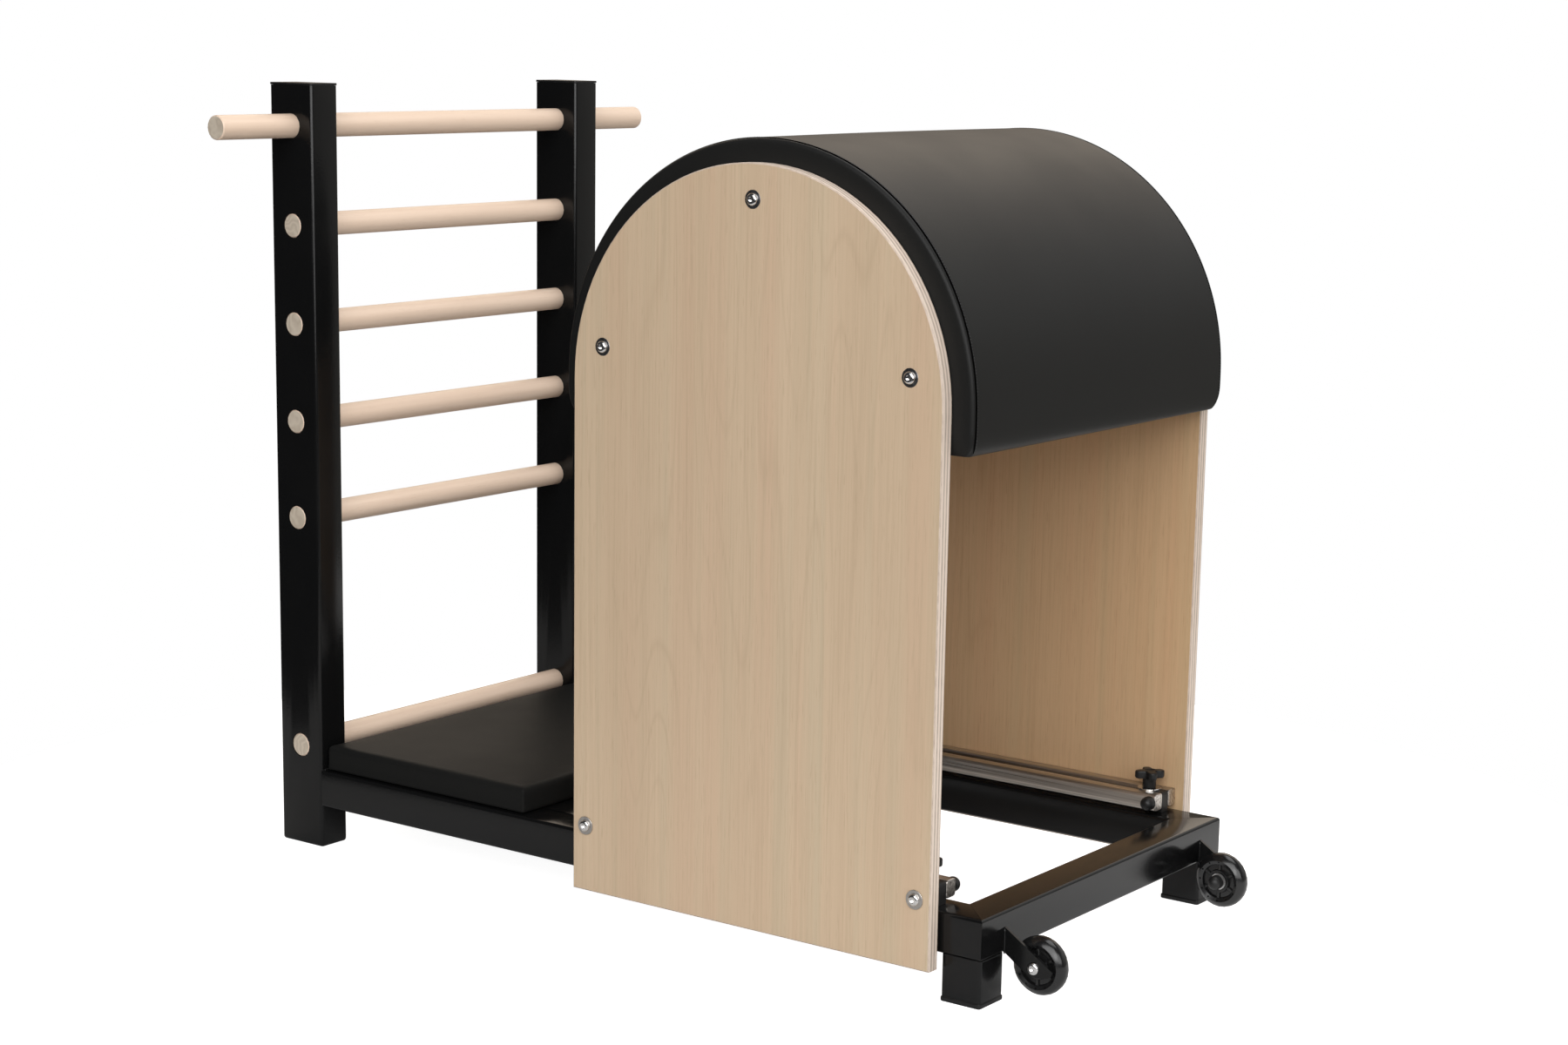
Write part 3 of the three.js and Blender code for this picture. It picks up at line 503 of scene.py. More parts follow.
def plain_plywood():
    """Bare birch plywood, its face grain along Y and its plies seen on the ends."""
    surface = Surface("plain_plywood", roughness=0.6)
    grain = surface.noise(SHELL_GRAIN, detail=6, roughness=0.6)
    base = surface.blend(surface.spread(grain, 0.3, 0.7), PLY_LIGHT, PLY_DARK)
    axes = surface.axes()
    x = surface.calculate("SUBTRACT", axes["X"], PAD_MIDDLE)
    z = surface.calculate("SUBTRACT", axes["Z"], PAD_SPRING)
    square = surface.calculate("MULTIPLY", x, x)
    square = surface.calculate("ADD", square, surface.calculate("MULTIPLY", z, z))
    plies = ply_stripes(surface, surface.calculate("SQRT", square), SHELL_PLIES)
    surface.colour(surface.blend(surface.spread(surface.facing("Y"), 0.6, 0.9), base, plies))
    surface.bump(grain, PLYWOOD_RELIEF, 0.5)
    return surface.material


def plated_steel(name, shades, pattern, least_roughness, most_roughness):
    surface = Surface(name, metallic=1.0, roughness=most_roughness)
    # On the bars these bands are partly brushed streaks and partly painted reflections
    streaks_and_reflection_bands = surface.spread(surface.noise(pattern, detail=5, roughness=0.6), 0.3, 0.7)
    surface.colour(surface.blend(streaks_and_reflection_bands, *shades))
    surface.roughen(surface.spread(streaks_and_reflection_bands, 0, 1, least_roughness, most_roughness))
    surface.bump(streaks_and_reflection_bands, STEEL_RELIEF, 0.4)
    return surface.material


def wheel_black():
    surface = Surface("wheel_black", roughness=0.14)
    cloudy = surface.noise(WHEEL_CLOUDS, detail=3)
    surface.colour(surface.blend(cloudy, *RUBBER_BLACK))
    surface.roughen(surface.spread(cloudy, 0.3, 0.7, 0.16, 0.28))
    surface.bump(surface.noise(WHEEL_RIPPLES, detail=3), WHEEL_RELIEF, 0.5)
    return surface.material


def floor_white():
    """Pale floor. In reflections it is brightest beyond the wheels, on the side away from the camera."""
    surface = Surface("floor_white", roughness=0.8, emission_color=(1, 1, 1, 1))
    surface.colour(surface.blend(surface.noise(FLOOR_CLOUDS, detail=3), *FLOOR_WHITE))
    lean = surface.toward(surface.coordinates.outputs["Object"], BEHIND_RIGHT)
    glow = surface.spread(lean, 0.1, 0.9, *FLOOR_GLOW)
    seen = surface.add("ShaderNodeLightPath").outputs["Is Camera Ray"]
    strength = surface.spread(seen, 0, 1, glow, FLOOR_SEEN_GLOW)
    surface.tree.links.new(strength, surface.shader.inputs["Emission Strength"])
    return surface.material


POWDER_COAT = powder_coat()
BLACK_PLASTIC = black_plastic()
BLACK_LEATHER = black_leather("black_leather", 0.16)
# Painted shade: the cushion's copy of the leather reflects less, for the shade it sits in beside the ladder
# and panels
SHADED_CUSHION_LEATHER = black_leather("shaded_cushion_leather", 0.04)
SEAM_SHADOW = thread("seam_shadow", SEAM_SHADOW_SHADES, 0)
GREY_THREAD = thread("grey_thread", THREAD_SHADES, 0.5)
PANEL_WOOD = panel_wood()
RUNG_WOOD = rung_wood()
PLAIN_PLYWOOD = plain_plywood()
BRIGHT_STEEL = plated_steel("bright_steel", STEEL, BOLT_SPECKS, 0.12, 0.22)
BEARING_STEEL = plated_steel("bearing_steel", STEEL, BEARING_SPECKS, 0.35, 0.5)
BAR_STEEL = plated_steel("bar_steel", BAR_SHADES_AND_REFLECTIONS, BAR_STREAKS_AND_REFLECTION_BANDS, 0.26, 0.42)
DARK_WASHER = plated_steel("dark_washer", DARK_STEEL, WASHER_SPECKS, 0.28, 0.4)
PALE_WASHER = plated_steel("pale_washer", PALE_STEEL, WASHER_SPECKS, 0.32, 0.45)
WHEEL_BLACK = wheel_black()
FLOOR_MATERIAL = floor_white()

MATERIAL_OF_SLOT = {
    "black_frame": POWDER_COAT,
    "black_plastic": BLACK_PLASTIC,
    "black_upholstery": BLACK_LEATHER,
    "panel_wood": PANEL_WOOD,
    "rung_wood": RUNG_WOOD,
    "plain_plywood": PLAIN_PLYWOOD,
    "bright_steel": BRIGHT_STEEL,
    "wheel_rubber": WHEEL_BLACK,
}


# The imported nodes
def smoothing():
    """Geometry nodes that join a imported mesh's split corners and smooth all but its sharp edges."""
    group = bpy.data.node_groups.new("smoothing", "GeometryNodeTree")
    for direction in ("INPUT", "OUTPUT"):
        group.interface.new_socket("Geometry", in_out=direction, socket_type="NodeSocketGeometry")

    def add(kind, **values):
        node = group.nodes.new(kind)
        for key, value in values.items():
            node.inputs[key.replace("_", " ")].default_value = value
        return node

    start = add("NodeGroupInput")
    merged = add("GeometryNodeMergeByDistance", Distance=MERGE_REACH)
    bare = add("GeometryNodeRemoveAttribute", Name="custom_normal")
    smooth = add("GeometryNodeSetShadeSmooth", Shade_Smooth=True)
    angle = add("GeometryNodeInputMeshEdgeAngle")
    sharper = group.nodes.new("FunctionNodeCompare")
    sharper.operation = "GREATER_THAN"
    sharper.inputs["B"].default_value = math.radians(NODE_ANGLE)
    sharp = add("GeometryNodeSetShadeSmooth", Shade_Smooth=False)
    sharp.domain = "EDGE"
    end = add("NodeGroupOutput")
    link = group.links.new
    link(start.outputs[0], merged.inputs["Geometry"])
    link(merged.outputs["Geometry"], bare.inputs["Geometry"])
    link(bare.outputs["Geometry"], smooth.inputs["Geometry"])
    link(smooth.outputs["Geometry"], sharp.inputs["Geometry"])
    link(angle.outputs["Unsigned Angle"], sharper.inputs["A"])
    link(sharper.outputs["Result"], sharp.inputs["Selection"])
    link(sharp.outputs["Geometry"], end.inputs[0])
    return group


SLOT_OF_NODE = {entry["node"]: entry["material_slot"] for entry in frame["record"]["subparts"]}
SMOOTHING = smoothing()


def dress_nodes():
    """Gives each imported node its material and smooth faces."""
    own = {f"{kind}_{side}": BAR_STEEL for kind in ("inner_bar", "outer_bar") for side in SIDES}
    own |= {f"bearing_{side}": BEARING_STEEL for side in SIDES}
    for name, node in frame["nodes"].items():
        node.material_slots[0].material = own.get(name, MATERIAL_OF_SLOT[SLOT_OF_NODE[name]])
        modifier = node.modifiers.new("smoothing", "NODES")
        modifier.node_group = SMOOTHING


# Making pieces
def ring_faces(count, rings, looped=False):
    """Quads between closed rings of as many points each, and a face at each end unless they loop."""
    faces = []
    for ring in range(rings if looped else rings - 1):
        start = ring * count
        above = (ring + 1) % rings * count
        for i in range(count):
            following = (i + 1) % count
            faces.append((start + i, start + following, above + following, above + i))
    if not looped:
        last = (rings - 1) * count
        faces.append(tuple(reversed(range(count))))
        faces.append(tuple(last + i for i in range(count)))
    return faces


def make_piece(name, points, faces, material, body, sharp_angle=EDGE_ANGLE):
    mesh = bpy.data.meshes.new(name)
    mesh.from_pydata([tuple(point) for point in points], [], faces)
    shape = bmesh.new()
    shape.from_mesh(mesh)
    bmesh.ops.recalc_face_normals(shape, faces=shape.faces)
    shape.to_mesh(mesh)
    shape.free()
    mesh.shade_smooth()
    mesh.set_sharp_from_angle(angle=math.radians(sharp_angle))
    mesh.materials.append(material)
    piece = bpy.data.objects.new(name, mesh)
    bpy.context.scene.collection.objects.link(piece)
    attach(piece, body)
    return piece


def circle(centre, first, second, radius, count):
    """Points evenly round a centre, in the plane of two directions."""
    angles = [i / count * 2 * math.pi for i in range(count)]
    return [centre + (first * math.cos(angle) + second * math.sin(angle)) * radius for angle in angles]


def add_part(points, faces, more_points, more_faces):
    """Adds a part's points and faces to those of the mesh that it belongs to."""
    start = len(points)
    points += more_points
    faces += [tuple(start + corner for corner in face) for face in more_faces]


def turned_points(rings, steps, place, axis):
    """Points of rings round an axis. A ring is a distance along it and a reach, or what gives the reach."""
    side = axis.orthogonal().normalized()
    other = axis.cross(side)
    points = []
    for distance, reach in rings:
        for i in range(steps):
            angle = i / steps * 2 * math.pi
            length = reach(angle) if callable(reach) else reach
            outward = side * math.cos(angle) + other * math.sin(angle)
            points.append(place + axis * distance + outward * length)
    return points


def hexagon(apothem):
    """Reach of a hexagon at an angle."""
    turn = math.pi / 3
    return lambda angle: apothem / math.cos((angle + turn / 2) % turn - turn / 2)


def quarter_turn(steps):
    """Pairs of sine and cosine over a quarter turn."""
    return [(math.sin(a), math.cos(a)) for a in (i / steps * math.pi / 2 for i in range(steps + 1))]


# Barrel's pad
def pad_section():
    """Radius and place across of each point round the pad's section, from the middle of its inside."""
    outer = PAD_RADIUS - PAD_CROWN
    inner = PAD_INNER_RADIUS
    half = PAD_HALF
    reach = half - PAD_EDGE
    wall = outer - PAD_EDGE - inner
    side = [(inner, half * share) for share in PAD_INNER_SHARES]
    side += [(inner, half - PAD_INNER_CORNER), (inner + PAD_INNER_CORNER, half)]
    side += [(inner + share * wall, half) for share in PAD_SIDE_SHARES]
    edge = quarter_turn(PAD_EDGE_STEPS)
    side += [(outer - PAD_EDGE * (1 - s), half - PAD_EDGE * (1 - c)) for s, c in edge]
    tops = [PAD_SEAM - offset for offset in PAD_SEAM_OFFSETS]
    tops += [reach * share for share in PAD_TOP_SHARES]
    for across in tops:
        rise = PAD_CROWN * math.cos(min(across / reach, 1) * math.pi / 2)
        side.append((outer + rise, across))
    middle_top = (outer + PAD_CROWN, 0.0)
    other = [(radius, -across) for radius, across in reversed(side)]
    return [*side, middle_top, *other, (inner, 0.0)]


def tuck(drop):
    """How far the cover is drawn in at a drop below the springing, as it rolls under at its ends."""
    share = max(drop - PAD_SKIRT + PAD_TUCK_HEIGHT, 0) / PAD_TUCK_HEIGHT
    return PAD_TUCK * (1 - math.sqrt(max(1 - share * share, 0)))


def pad_rings():
    """The pad's section at each station, up one end, over the arch and down the other end."""
    section = pad_section()
    straight = PAD_SKIRT - PAD_TUCK_HEIGHT
    drops = [PAD_SKIRT - PAD_TUCK_HEIGHT * (1 - c) for _, c in quarter_turn(PAD_TUCK_STEPS)]
    drops += [straight * (1 - step / PAD_SKIRT_STEPS) for step in range(1, PAD_SKIRT_STEPS)]
    stations = [(drop, 0.0) for drop in drops]
    stations += [(0.0, step / PAD_ARCH_STEPS * math.pi) for step in range(PAD_ARCH_STEPS + 1)]
    stations += [(drop, math.pi) for drop in reversed(drops)]
    rings = []
    for drop, angle in stations:
        inset = tuck(drop)
        ring = []
        for radius, across in section:
            share = (radius - PAD_INNER_RADIUS) / (PAD_RADIUS - PAD_INNER_RADIUS)
            reach = radius - inset * share
            x = PAD_MIDDLE + reach * math.cos(angle)
            y = across * (1 - PAD_TUCK_SIDES * inset / PAD_HALF)
            ring.append(Vector((x, y, PAD_SPRING - drop + reach * math.sin(angle))))
        rings.append(ring)
    return rings


def pad_radius_of(point):
    """How far a point lies from the arch's axis, or from its plane below the springing."""
    along = point.x - PAD_MIDDLE
    rise = max(point.z - PAD_SPRING, 0)
    return math.hypot(along, rise)


def swell(piece, held, limit):
    """Swells a padded piece by a short cloth simulation, and caps how far each point moves."""
    group = piece.vertex_groups.new(name="held")
    group.add(held, 1.0, "REPLACE")
    rest = [vertex.co.copy() for vertex in piece.data.vertices]
    modifier = piece.modifiers.new("swelling", "CLOTH")
    settings = modifier.settings
    settings.quality = 4
    settings.mass = 0.2
    settings.tension_stiffness = 25
    settings.compression_stiffness = 25
    settings.shear_stiffness = 10
    settings.bending_stiffness = 2
    settings.use_pressure = True
    settings.uniform_pressure_force = CLOTH_PRESSURE
    settings.vertex_group_mass = "held"
    settings.effector_weights.gravity = 0
    modifier.collision_settings.use_collision = False
    modifier.point_cache.frame_start = 1
    modifier.point_cache.frame_end = CLOTH_FRAMES
    scene = bpy.context.scene
    for step in range(1, CLOTH_FRAMES + 1):
        scene.frame_set(step)
    moved = piece.evaluated_get(bpy.context.evaluated_depsgraph_get()).data
    places = [vertex.co.copy() for vertex in moved.vertices]
    piece.modifiers.remove(modifier)
    scene.frame_set(1)
    for vertex, start, place in zip(piece.data.vertices, rest, places):
        shift = place - start
        if shift.length > limit:
            shift *= limit / shift.length
        vertex.co = start + shift
    piece.data.update()


def subdivide(piece):
    modifier = piece.modifiers.new("subdivision", "SUBSURF")
    modifier.levels = 1
    modifier.render_levels = 1


def sink_seam(piece):
    """Draws the pad's cover in along its two seams."""
    for vertex in piece.data.vertices:
        radius = pad_radius_of(vertex.co)
        if radius < PAD_HELD_RADIUS:
            continue
        offset = (abs(vertex.co.y) - PAD_SEAM) / SEAM_REACH
        depth = SEAM_DEPTH * math.exp(-offset * offset)
        share = depth / radius
        vertex.co.x -= (vertex.co.x - PAD_MIDDLE) * share
        if vertex.co.z > PAD_SPRING:
            vertex.co.z -= (vertex.co.z - PAD_SPRING) * share
    piece.data.update()


def barrel_pad():
    """The barrel's upholstered saddle, swelled and then drawn in along its seams."""
    rings = pad_rings()
    count = len(rings[0])
    points = [point for ring in rings for point in ring]
    faces = ring_faces(count, len(rings))
    piece = make_piece("pad_cover", points, faces, BLACK_LEATHER, "barrel", SOFT_ANGLE)
    edge = PAD_HALF - PAD_HELD_EDGE
    held = [
        vertex.index
        for vertex in piece.data.vertices
        if pad_radius_of(vertex.co) < PAD_HELD_RADIUS
        or abs(vertex.co.y) > edge
        or vertex.co.z < PAD_SPRING - PAD_SKIRT + PAD_TUCK_HEIGHT
    ]
    swell(piece, held, PAD_SWELL)
    sink_seam(piece)
    subdivide(piece)
    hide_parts("barrel_pad")


def stitch(place, along, outward):
    """Points and faces of one stitch: a short thread that dips into the cover at both ends."""
    sideways = along.cross(outward)
    points = []
    for step in range(STITCH_STEPS + 1):
        share = step / STITCH_STEPS
        bow = math.sin(share * math.pi)
        rise = (bow - STITCH_SINK) * STITCH_RADIUS * STITCH_BOW
        centre = place + along * (share - 0.5) * STITCH_LENGTH + outward * rise
        thickness = STITCH_RADIUS * (STITCH_THIN + (1 - STITCH_THIN) * bow)
        points += circle(centre, outward, sideways, thickness, STITCH_SIDES)
    return points, ring_faces(STITCH_SIDES, STITCH_STEPS + 1)


def beside_seam(share, side, inset, sink):
    """Place, direction and outward way at a share of the length of a line beside one seam."""
    radius = PAD_RADIUS - PAD_CROWN - sink
    arch = math.pi * radius
    travelled = share * (arch + 2 * SEAM_SKIRT)
    drop = max(SEAM_SKIRT - travelled, travelled - SEAM_SKIRT - arch, 0)
    angle = min(max(travelled - SEAM_SKIRT, 0), arch) / radius
    outward = Vector((math.cos(angle), 0, math.sin(angle)))
    along = Vector((-math.sin(angle), 0, math.cos(angle)))
    across = PAD_SEAM - inset - PAD_TUCK_SIDES * tuck(drop)
    place = outward * (radius - tuck(drop)) - Vector((0, 0, drop))
    return place + Vector((PAD_MIDDLE, SIDES[side] * across, PAD_SPRING)), along, outward


def seam_shadow_line(side):
    """Near-black matt tube along the bottom of a seam's groove: painted shade in the groove."""
    points = []
    for step in range(SEAM_LINE_STEPS + 1):
        sink = SEAM_LINE_RADIUS * SEAM_LINE_SINK
        place, along, outward = beside_seam(step / SEAM_LINE_STEPS, side, 0, sink)
        points += circle(place, outward, along.cross(outward), SEAM_LINE_RADIUS, SEAM_LINE_SIDES)
    faces = ring_faces(SEAM_LINE_SIDES, SEAM_LINE_STEPS + 1)
    make_piece(f"pad_seam_shadow_{side}", points, faces, SEAM_SHADOW, "barrel")


def pad_stitches(side):
    """Row of stitches on the pad's top beside a seam."""
    count = int((math.pi * PAD_RADIUS + 2 * SEAM_SKIRT) / STITCH_PITCH)
    points, faces = [], []
    for i in range(count):
        place = beside_seam((i + 0.5) / count, side, STITCH_INSET, STITCH_RADIUS * STITCH_DIP)
        add_part(points, faces, *stitch(*place))
    make_piece(f"pad_stitches_{side}", points, faces, GREY_THREAD, "barrel")


# Platform's cushion
def cushion_outline(inset, height):
    """Rounded rectangle with evenly spaced points, from the middle of one corner, drawn in by an inset."""
    corner = max(CUSHION_CORNER - inset, CUSHION_LEAST_CORNER)
    low_x, high_x = cushion_low.x + inset, cushion_high.x - inset
    low_y, high_y = cushion_low.y + inset, cushion_high.y - inset
    turns = [
        (high_x - corner, high_y - corner),
        (low_x + corner, high_y - corner),
        (low_x + corner, low_y + corner),
        (high_x - corner, low_y + corner),
    ]
    points = []
    for index, (x, y) in enumerate(turns):
        for step in range(CORNER_STEPS + 1):
            angle = (index + step / CORNER_STEPS) * math.pi / 2
            points.append(Vector((x + corner * math.cos(angle), y + corner * math.sin(angle), height)))
        next_x, next_y = turns[(index + 1) % 4]
        angle = (index + 1) * math.pi / 2
        end = Vector((next_x + corner * math.cos(angle), next_y + corner * math.sin(angle), height))
        steps = CUSHION_STEPS[index % 2]
        points += [points[-1].lerp(end, step / steps) for step in range(1, steps)]
    half = CORNER_STEPS // 2
    return points[half:] + points[:half]


def fill_ring(points, start, rise):
    """Adds a grid of points inside the last outline, which starts at an index, and gives its faces."""
    along, across = (steps + CORNER_STEPS for steps in CUSHION_STEPS)
    total = 2 * (along + across)
    edge = {}
    for i in range(along + 1):
        edge[i, 0] = start + i
        edge[i, across] = start + along + across + (along - i)
    for j in range(across + 1):
        edge[along, j] = start + along + j
        edge[0, j] = start + (total - j) % total
    index = dict(edge)
    for i in range(1, along):
        for j in range(1, across):
            u, v = i / along, j / across
            place = points[edge[i, 0]].lerp(points[edge[i, across]], v)
            place += points[edge[0, j]].lerp(points[edge[along, j]], u)
            near = points[edge[0, 0]].lerp(points[edge[along, 0]], u)
            far = points[edge[0, across]].lerp(points[edge[along, across]], u)
            place -= near.lerp(far, v)
            crown = (1 - (2 * u - 1) ** 4) * (1 - (2 * v - 1) ** 4)
            index[i, j] = len(points)
            points.append(place + Vector((0, 0, rise * crown)))
    return [
        (index[i, j], index[i + 1, j], index[i + 1, j + 1], index[i, j + 1])
        for i in range(along)
        for j in range(across)
    ]


def platform_cushion():
    """Cushion whose cover is drawn down over the platform board's edge."""
    bottom, top = cushion_low.z, cushion_high.z - CUSHION_CROWN
    hem = bottom - CUSHION_SKIRT
    rings = [(CUSHION_WALL, bottom), (CUSHION_WALL, hem + CUSHION_LIP), (CUSHION_WALL - CUSHION_LIP, hem)]
    rings += [(inset, hem + rise) for inset, rise in CUSHION_HEM]
    rings += [(0.0, hem + share * (top - CUSHION_EDGE - hem)) for share in CUSHION_SIDE_SHARES]
    edge = quarter_turn(CUSHION_EDGE_STEPS)
    rings += [(CUSHION_EDGE * (1 - c), top - CUSHION_EDGE * (1 - s)) for s, c in edge]
    outlines = [cushion_outline(inset, height) for inset, height in rings]
    count = len(outlines[0])
    points = [point for ring in outlines for point in ring]
    faces = ring_faces(count, len(outlines))[:-2]
    faces += fill_ring(points, 0, 0)
    faces += fill_ring(points, (len(outlines) - 1) * count, CUSHION_CROWN)
    piece = make_piece(
        "platform_cover", points, faces, SHADED_CUSHION_LEATHER, "base", SOFT_ANGLE
    )
    held = [v.index for v in piece.data.vertices if v.co.z < bottom + CUSHION_HELD_HEIGHT]
    swell(piece, held, CUSHION_SWELL)
    subdivide(piece)
    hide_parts("platform_cushion")


# Bolts
def bolt_places(node):
    """A bolt's axis through the middle of its box, its outward direction, and its two ends along it."""
    low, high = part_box(node)
    middle = (low + high) / 2
    sign = 1 if middle.y > 0 else -1
    ends = sorted((low.y * sign, high.y * sign))
    return Vector((middle.x, 0, middle.z)), Vector((0, sign, 0)), *ends


def bolt_head(node, rest, body):
    """Button head with a hexagonal socket, then the rest of the bolt as rings. Gives the head's seat."""
    place, axis, _, outer = bolt_places(node)
    seat = outer - HEAD_HEIGHT
    rings = [
        (outer - SOCKET_DEPTH, hexagon(SOCKET_APOTHEM)),
        (outer - SOCKET_CHAMFER, hexagon(SOCKET_APOTHEM)),
        (outer, SOCKET_MOUTH),
    ]
    dome = HEAD_HEIGHT - HEAD_RIM
    for s, c in quarter_turn(HEAD_STEPS):
        rings.append((outer - dome * (1 - c), HEAD_FLAT + (HEAD_RADIUS - HEAD_FLAT) * s))
    rings += [(seat, HEAD_RADIUS), (seat, SHANK_RADIUS), *rest]
    points = turned_points(rings, BOLT_STEPS, place, axis)
    faces = ring_faces(BOLT_STEPS, len(rings))
    piece = make_piece(f"{node}_head", points, faces, BRIGHT_STEEL, body)
    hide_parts(node)
    return seat


def washer(node, radius, seat, material, body):
    """Flat washer under a bolt's head."""
    place, axis, _, _ = bolt_places(node)
    bottom = seat - WASHER_THICKNESS
    hole = SHANK_RADIUS + WASHER_EDGE
    rings = [
        (bottom, hole),
        (bottom, radius),
        (seat - WASHER_EDGE, radius),
        (seat, radius - WASHER_EDGE),
        (seat, hole),
    ]
    points = turned_points(rings, BOLT_STEPS, place, axis)
    faces = ring_faces(BOLT_STEPS, len(rings), looped=True)
    piece = make_piece(f"{node}_washer", points, faces, material, body, WASHER_ANGLE)
    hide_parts(node)


def nut_cover(node, body):
    """Black domed cover over a bolt's nut."""
    place, axis, inner, _ = bolt_places(node)
    rings = [(inner + COVER_DOME * (1 - c), COVER_RADIUS * s) for s, c in quarter_turn(COVER_STEPS)[1:]]
    rings += [(inner + COVER_LENGTH, COVER_RADIUS)]
    points = turned_points(rings, BOLT_STEPS, place, axis)
    faces = ring_faces(BOLT_STEPS, len(rings))
    piece = make_piece(f"{node}_cover", points, faces, BLACK_PLASTIC, body)
    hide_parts(node)


def bolts():
    """The bolts of the panels, and those that carry the wheels."""
    for side in SIDES:
        for number in (1, 2, 3):
            node = f"arch_bolt_{number}_{side}"
            inner = bolt_places(node)[2]
            nut = [(inner + NUT_LENGTH, SHANK_RADIUS), (inner + NUT_LENGTH, hexagon(NUT_APOTHEM))]
            seat = bolt_head(node, [*nut, (inner, hexagon(NUT_APOTHEM))], "barrel")
            washer(node, ARCH_WASHER_RADIUS, seat, DARK_WASHER, "barrel")
        for end in ("front", "rear"):
            node = f"{end}_cross_bolt_{side}"
            inner = bolt_places(node)[2]
            seat = bolt_head(node, [(inner + COVER_LENGTH, SHANK_RADIUS)], "barrel")
            washer(node, LOW_WASHER_RADIUS, seat, PALE_WASHER, "barrel")
            nut_cover(node, "barrel")
        node = f"axle_bolt_{side}"
        inner = bolt_places(node)[2]
        bolt_head(node, [(inner + COVER_LENGTH, SHANK_RADIUS)], "base")
        nut_cover(node, "base")


# Star knobs
def star_reach(reach):
    """Reach of a rounded cross at an angle: four arms with round ends, filled in between."""
    centre = reach - ARM_HALF

    def at(angle):
        turn = abs((angle + math.pi / 4) % (math.pi / 2) - math.pi / 4)
        if turn < math.atan2(ARM_HALF, centre):
            arm = centre * math.cos(turn) + math.sqrt(ARM_HALF**2 - (centre * math.sin(turn)) ** 2)
        else:
            arm = ARM_HALF / math.sin(turn)
        return (arm**ARM_BLEND + KNOB_CORE**ARM_BLEND) ** (1 / ARM_BLEND)

    return at


def star_knob(side):
    """Clamp knob: a round boss that flares into a star with rounded edges and a dished top."""
    node = f"clamp_knob_{side}"
    low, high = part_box(node)
    star = star_reach((high.x - low.x) / 2)
    head = high.z - KNOB_HEIGHT
    neck, flare = KNOB_NECK_SHARES

    def mixed(share, inset=0.0):
        return lambda angle: BOSS_RADIUS * (1 - share) + (star(angle) - inset) * share

    rings = [
        (low.z, BOSS_RADIUS - WASHER_EDGE),
        (low.z + WASHER_EDGE, BOSS_RADIUS),
        (head - KNOB_FLARE, BOSS_RADIUS),
        (head - KNOB_FLARE * KNOB_NECK_RISE, mixed(neck)),
        (head, mixed(flare)),
    ]
    edge = quarter_turn(KNOB_EDGE_STEPS)
    rings += [(head + KNOB_EDGE * (1 - c), mixed(1.0, KNOB_EDGE * (1 - s))) for s, c in edge]
    rings += [(high.z - KNOB_EDGE * (1 - s), mixed(1.0, KNOB_EDGE * (1 - c))) for s, c in edge]
    rings += [(high.z, mixed(KNOB_TOP_SHARE)), (high.z, KNOB_DISH_RADIUS)]
    rings += [(high.z - KNOB_DISH * s, KNOB_DISH_RADIUS * c) for s, c in edge[1:-1]]
    place = Vector(((low.x + high.x) / 2, (low.y + high.y) / 2, 0))
    points = turned_points(rings, KNOB_STEPS, place, Vector((0, 0, 1)))
    faces = ring_faces(KNOB_STEPS, len(rings))
    name, body = f"star_knob_{side}", f"knob_{side}"
    piece = make_piece(name, points, faces, BLACK_PLASTIC, body, KNOB_ANGLE)
    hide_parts(node)


# Wheels' spokes
def spoke(middle, facing, number):
    """Points and faces of one rib on the face of a wheel that looks along Y, or against it."""
    angle = (number + 0.5) / SPOKE_COUNT * 2 * math.pi
    outward = Vector((math.cos(angle), 0, math.sin(angle)))
    sideways = Vector((-math.sin(angle), 0, math.cos(angle)))
    points = []
    for reach in (SPOKE_FROM, SPOKE_TO):
        for across, rise in SPOKE_SECTION:
            height = facing * (GROOVE_HALF - SPOKE_SINK + SPOKE_RISE * rise)
            place = outward * reach + sideways * SPOKE_HALF * across
            points.append(middle + place + Vector((0, height, 0)))
    return points, ring_faces(len(SPOKE_SECTION), 2)


def wheel_spokes(side):
    """Ribs across the groove round each face of a wheel's hub, with pockets left between them."""
    low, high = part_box(f"wheel_{side}")
    points, faces = [], []
    for facing in (1, -1):
        for number in range(SPOKE_COUNT):
            add_part(points, faces, *spoke((low + high) / 2, facing, number))
    name, body = f"wheel_spokes_{side}", f"caster_{side}"
    make_piece(name, points, faces, WHEEL_BLACK, body, SPOKE_ANGLE)


# Weld beads
def bead(start, end, radius):
    """Points and faces of one rippled weld bead."""
    along = (end - start).normalized()
    side = along.orthogonal().normalized()
    other = along.cross(side)
    length = (end - start).length
    steps = max(int(length / BEAD_RIPPLE), 1) * BEAD_RIPPLE_STEPS
    points = []
    for step in range(steps + 1):
        share = step / steps
        taper = min(share, 1 - share) * length / (2 * radius)
        thick = radius * math.sqrt(min(taper, 1) * (1 - BEAD_LEAST) + BEAD_LEAST)
        thick *= 1 + BEAD_WAVE * math.cos(share * length / BEAD_RIPPLE * 2 * math.pi)
        centre = start.lerp(end, share)
        points += circle(centre, side, other, thick, BEAD_SIDES)
    return points, ring_faces(BEAD_SIDES, steps + 1)


def leg_runs(side):
    """Start, end and radius of each bead round the top of a front leg."""
    low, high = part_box(f"front_leg_{side}")
    corners = [
        Vector((low.x, low.y, high.z)),
        Vector((high.x, low.y, high.z)),
        Vector((high.x, high.y, high.z)),
        Vector((low.x, high.y, high.z)),
    ]
    runs = []
    for start, end in zip(corners, corners[1:] + corners[:1]):
        along = (end - start).normalized() * BEAD_INSET
        runs.append((start + along, end - along, LEG_BEAD))
    return runs


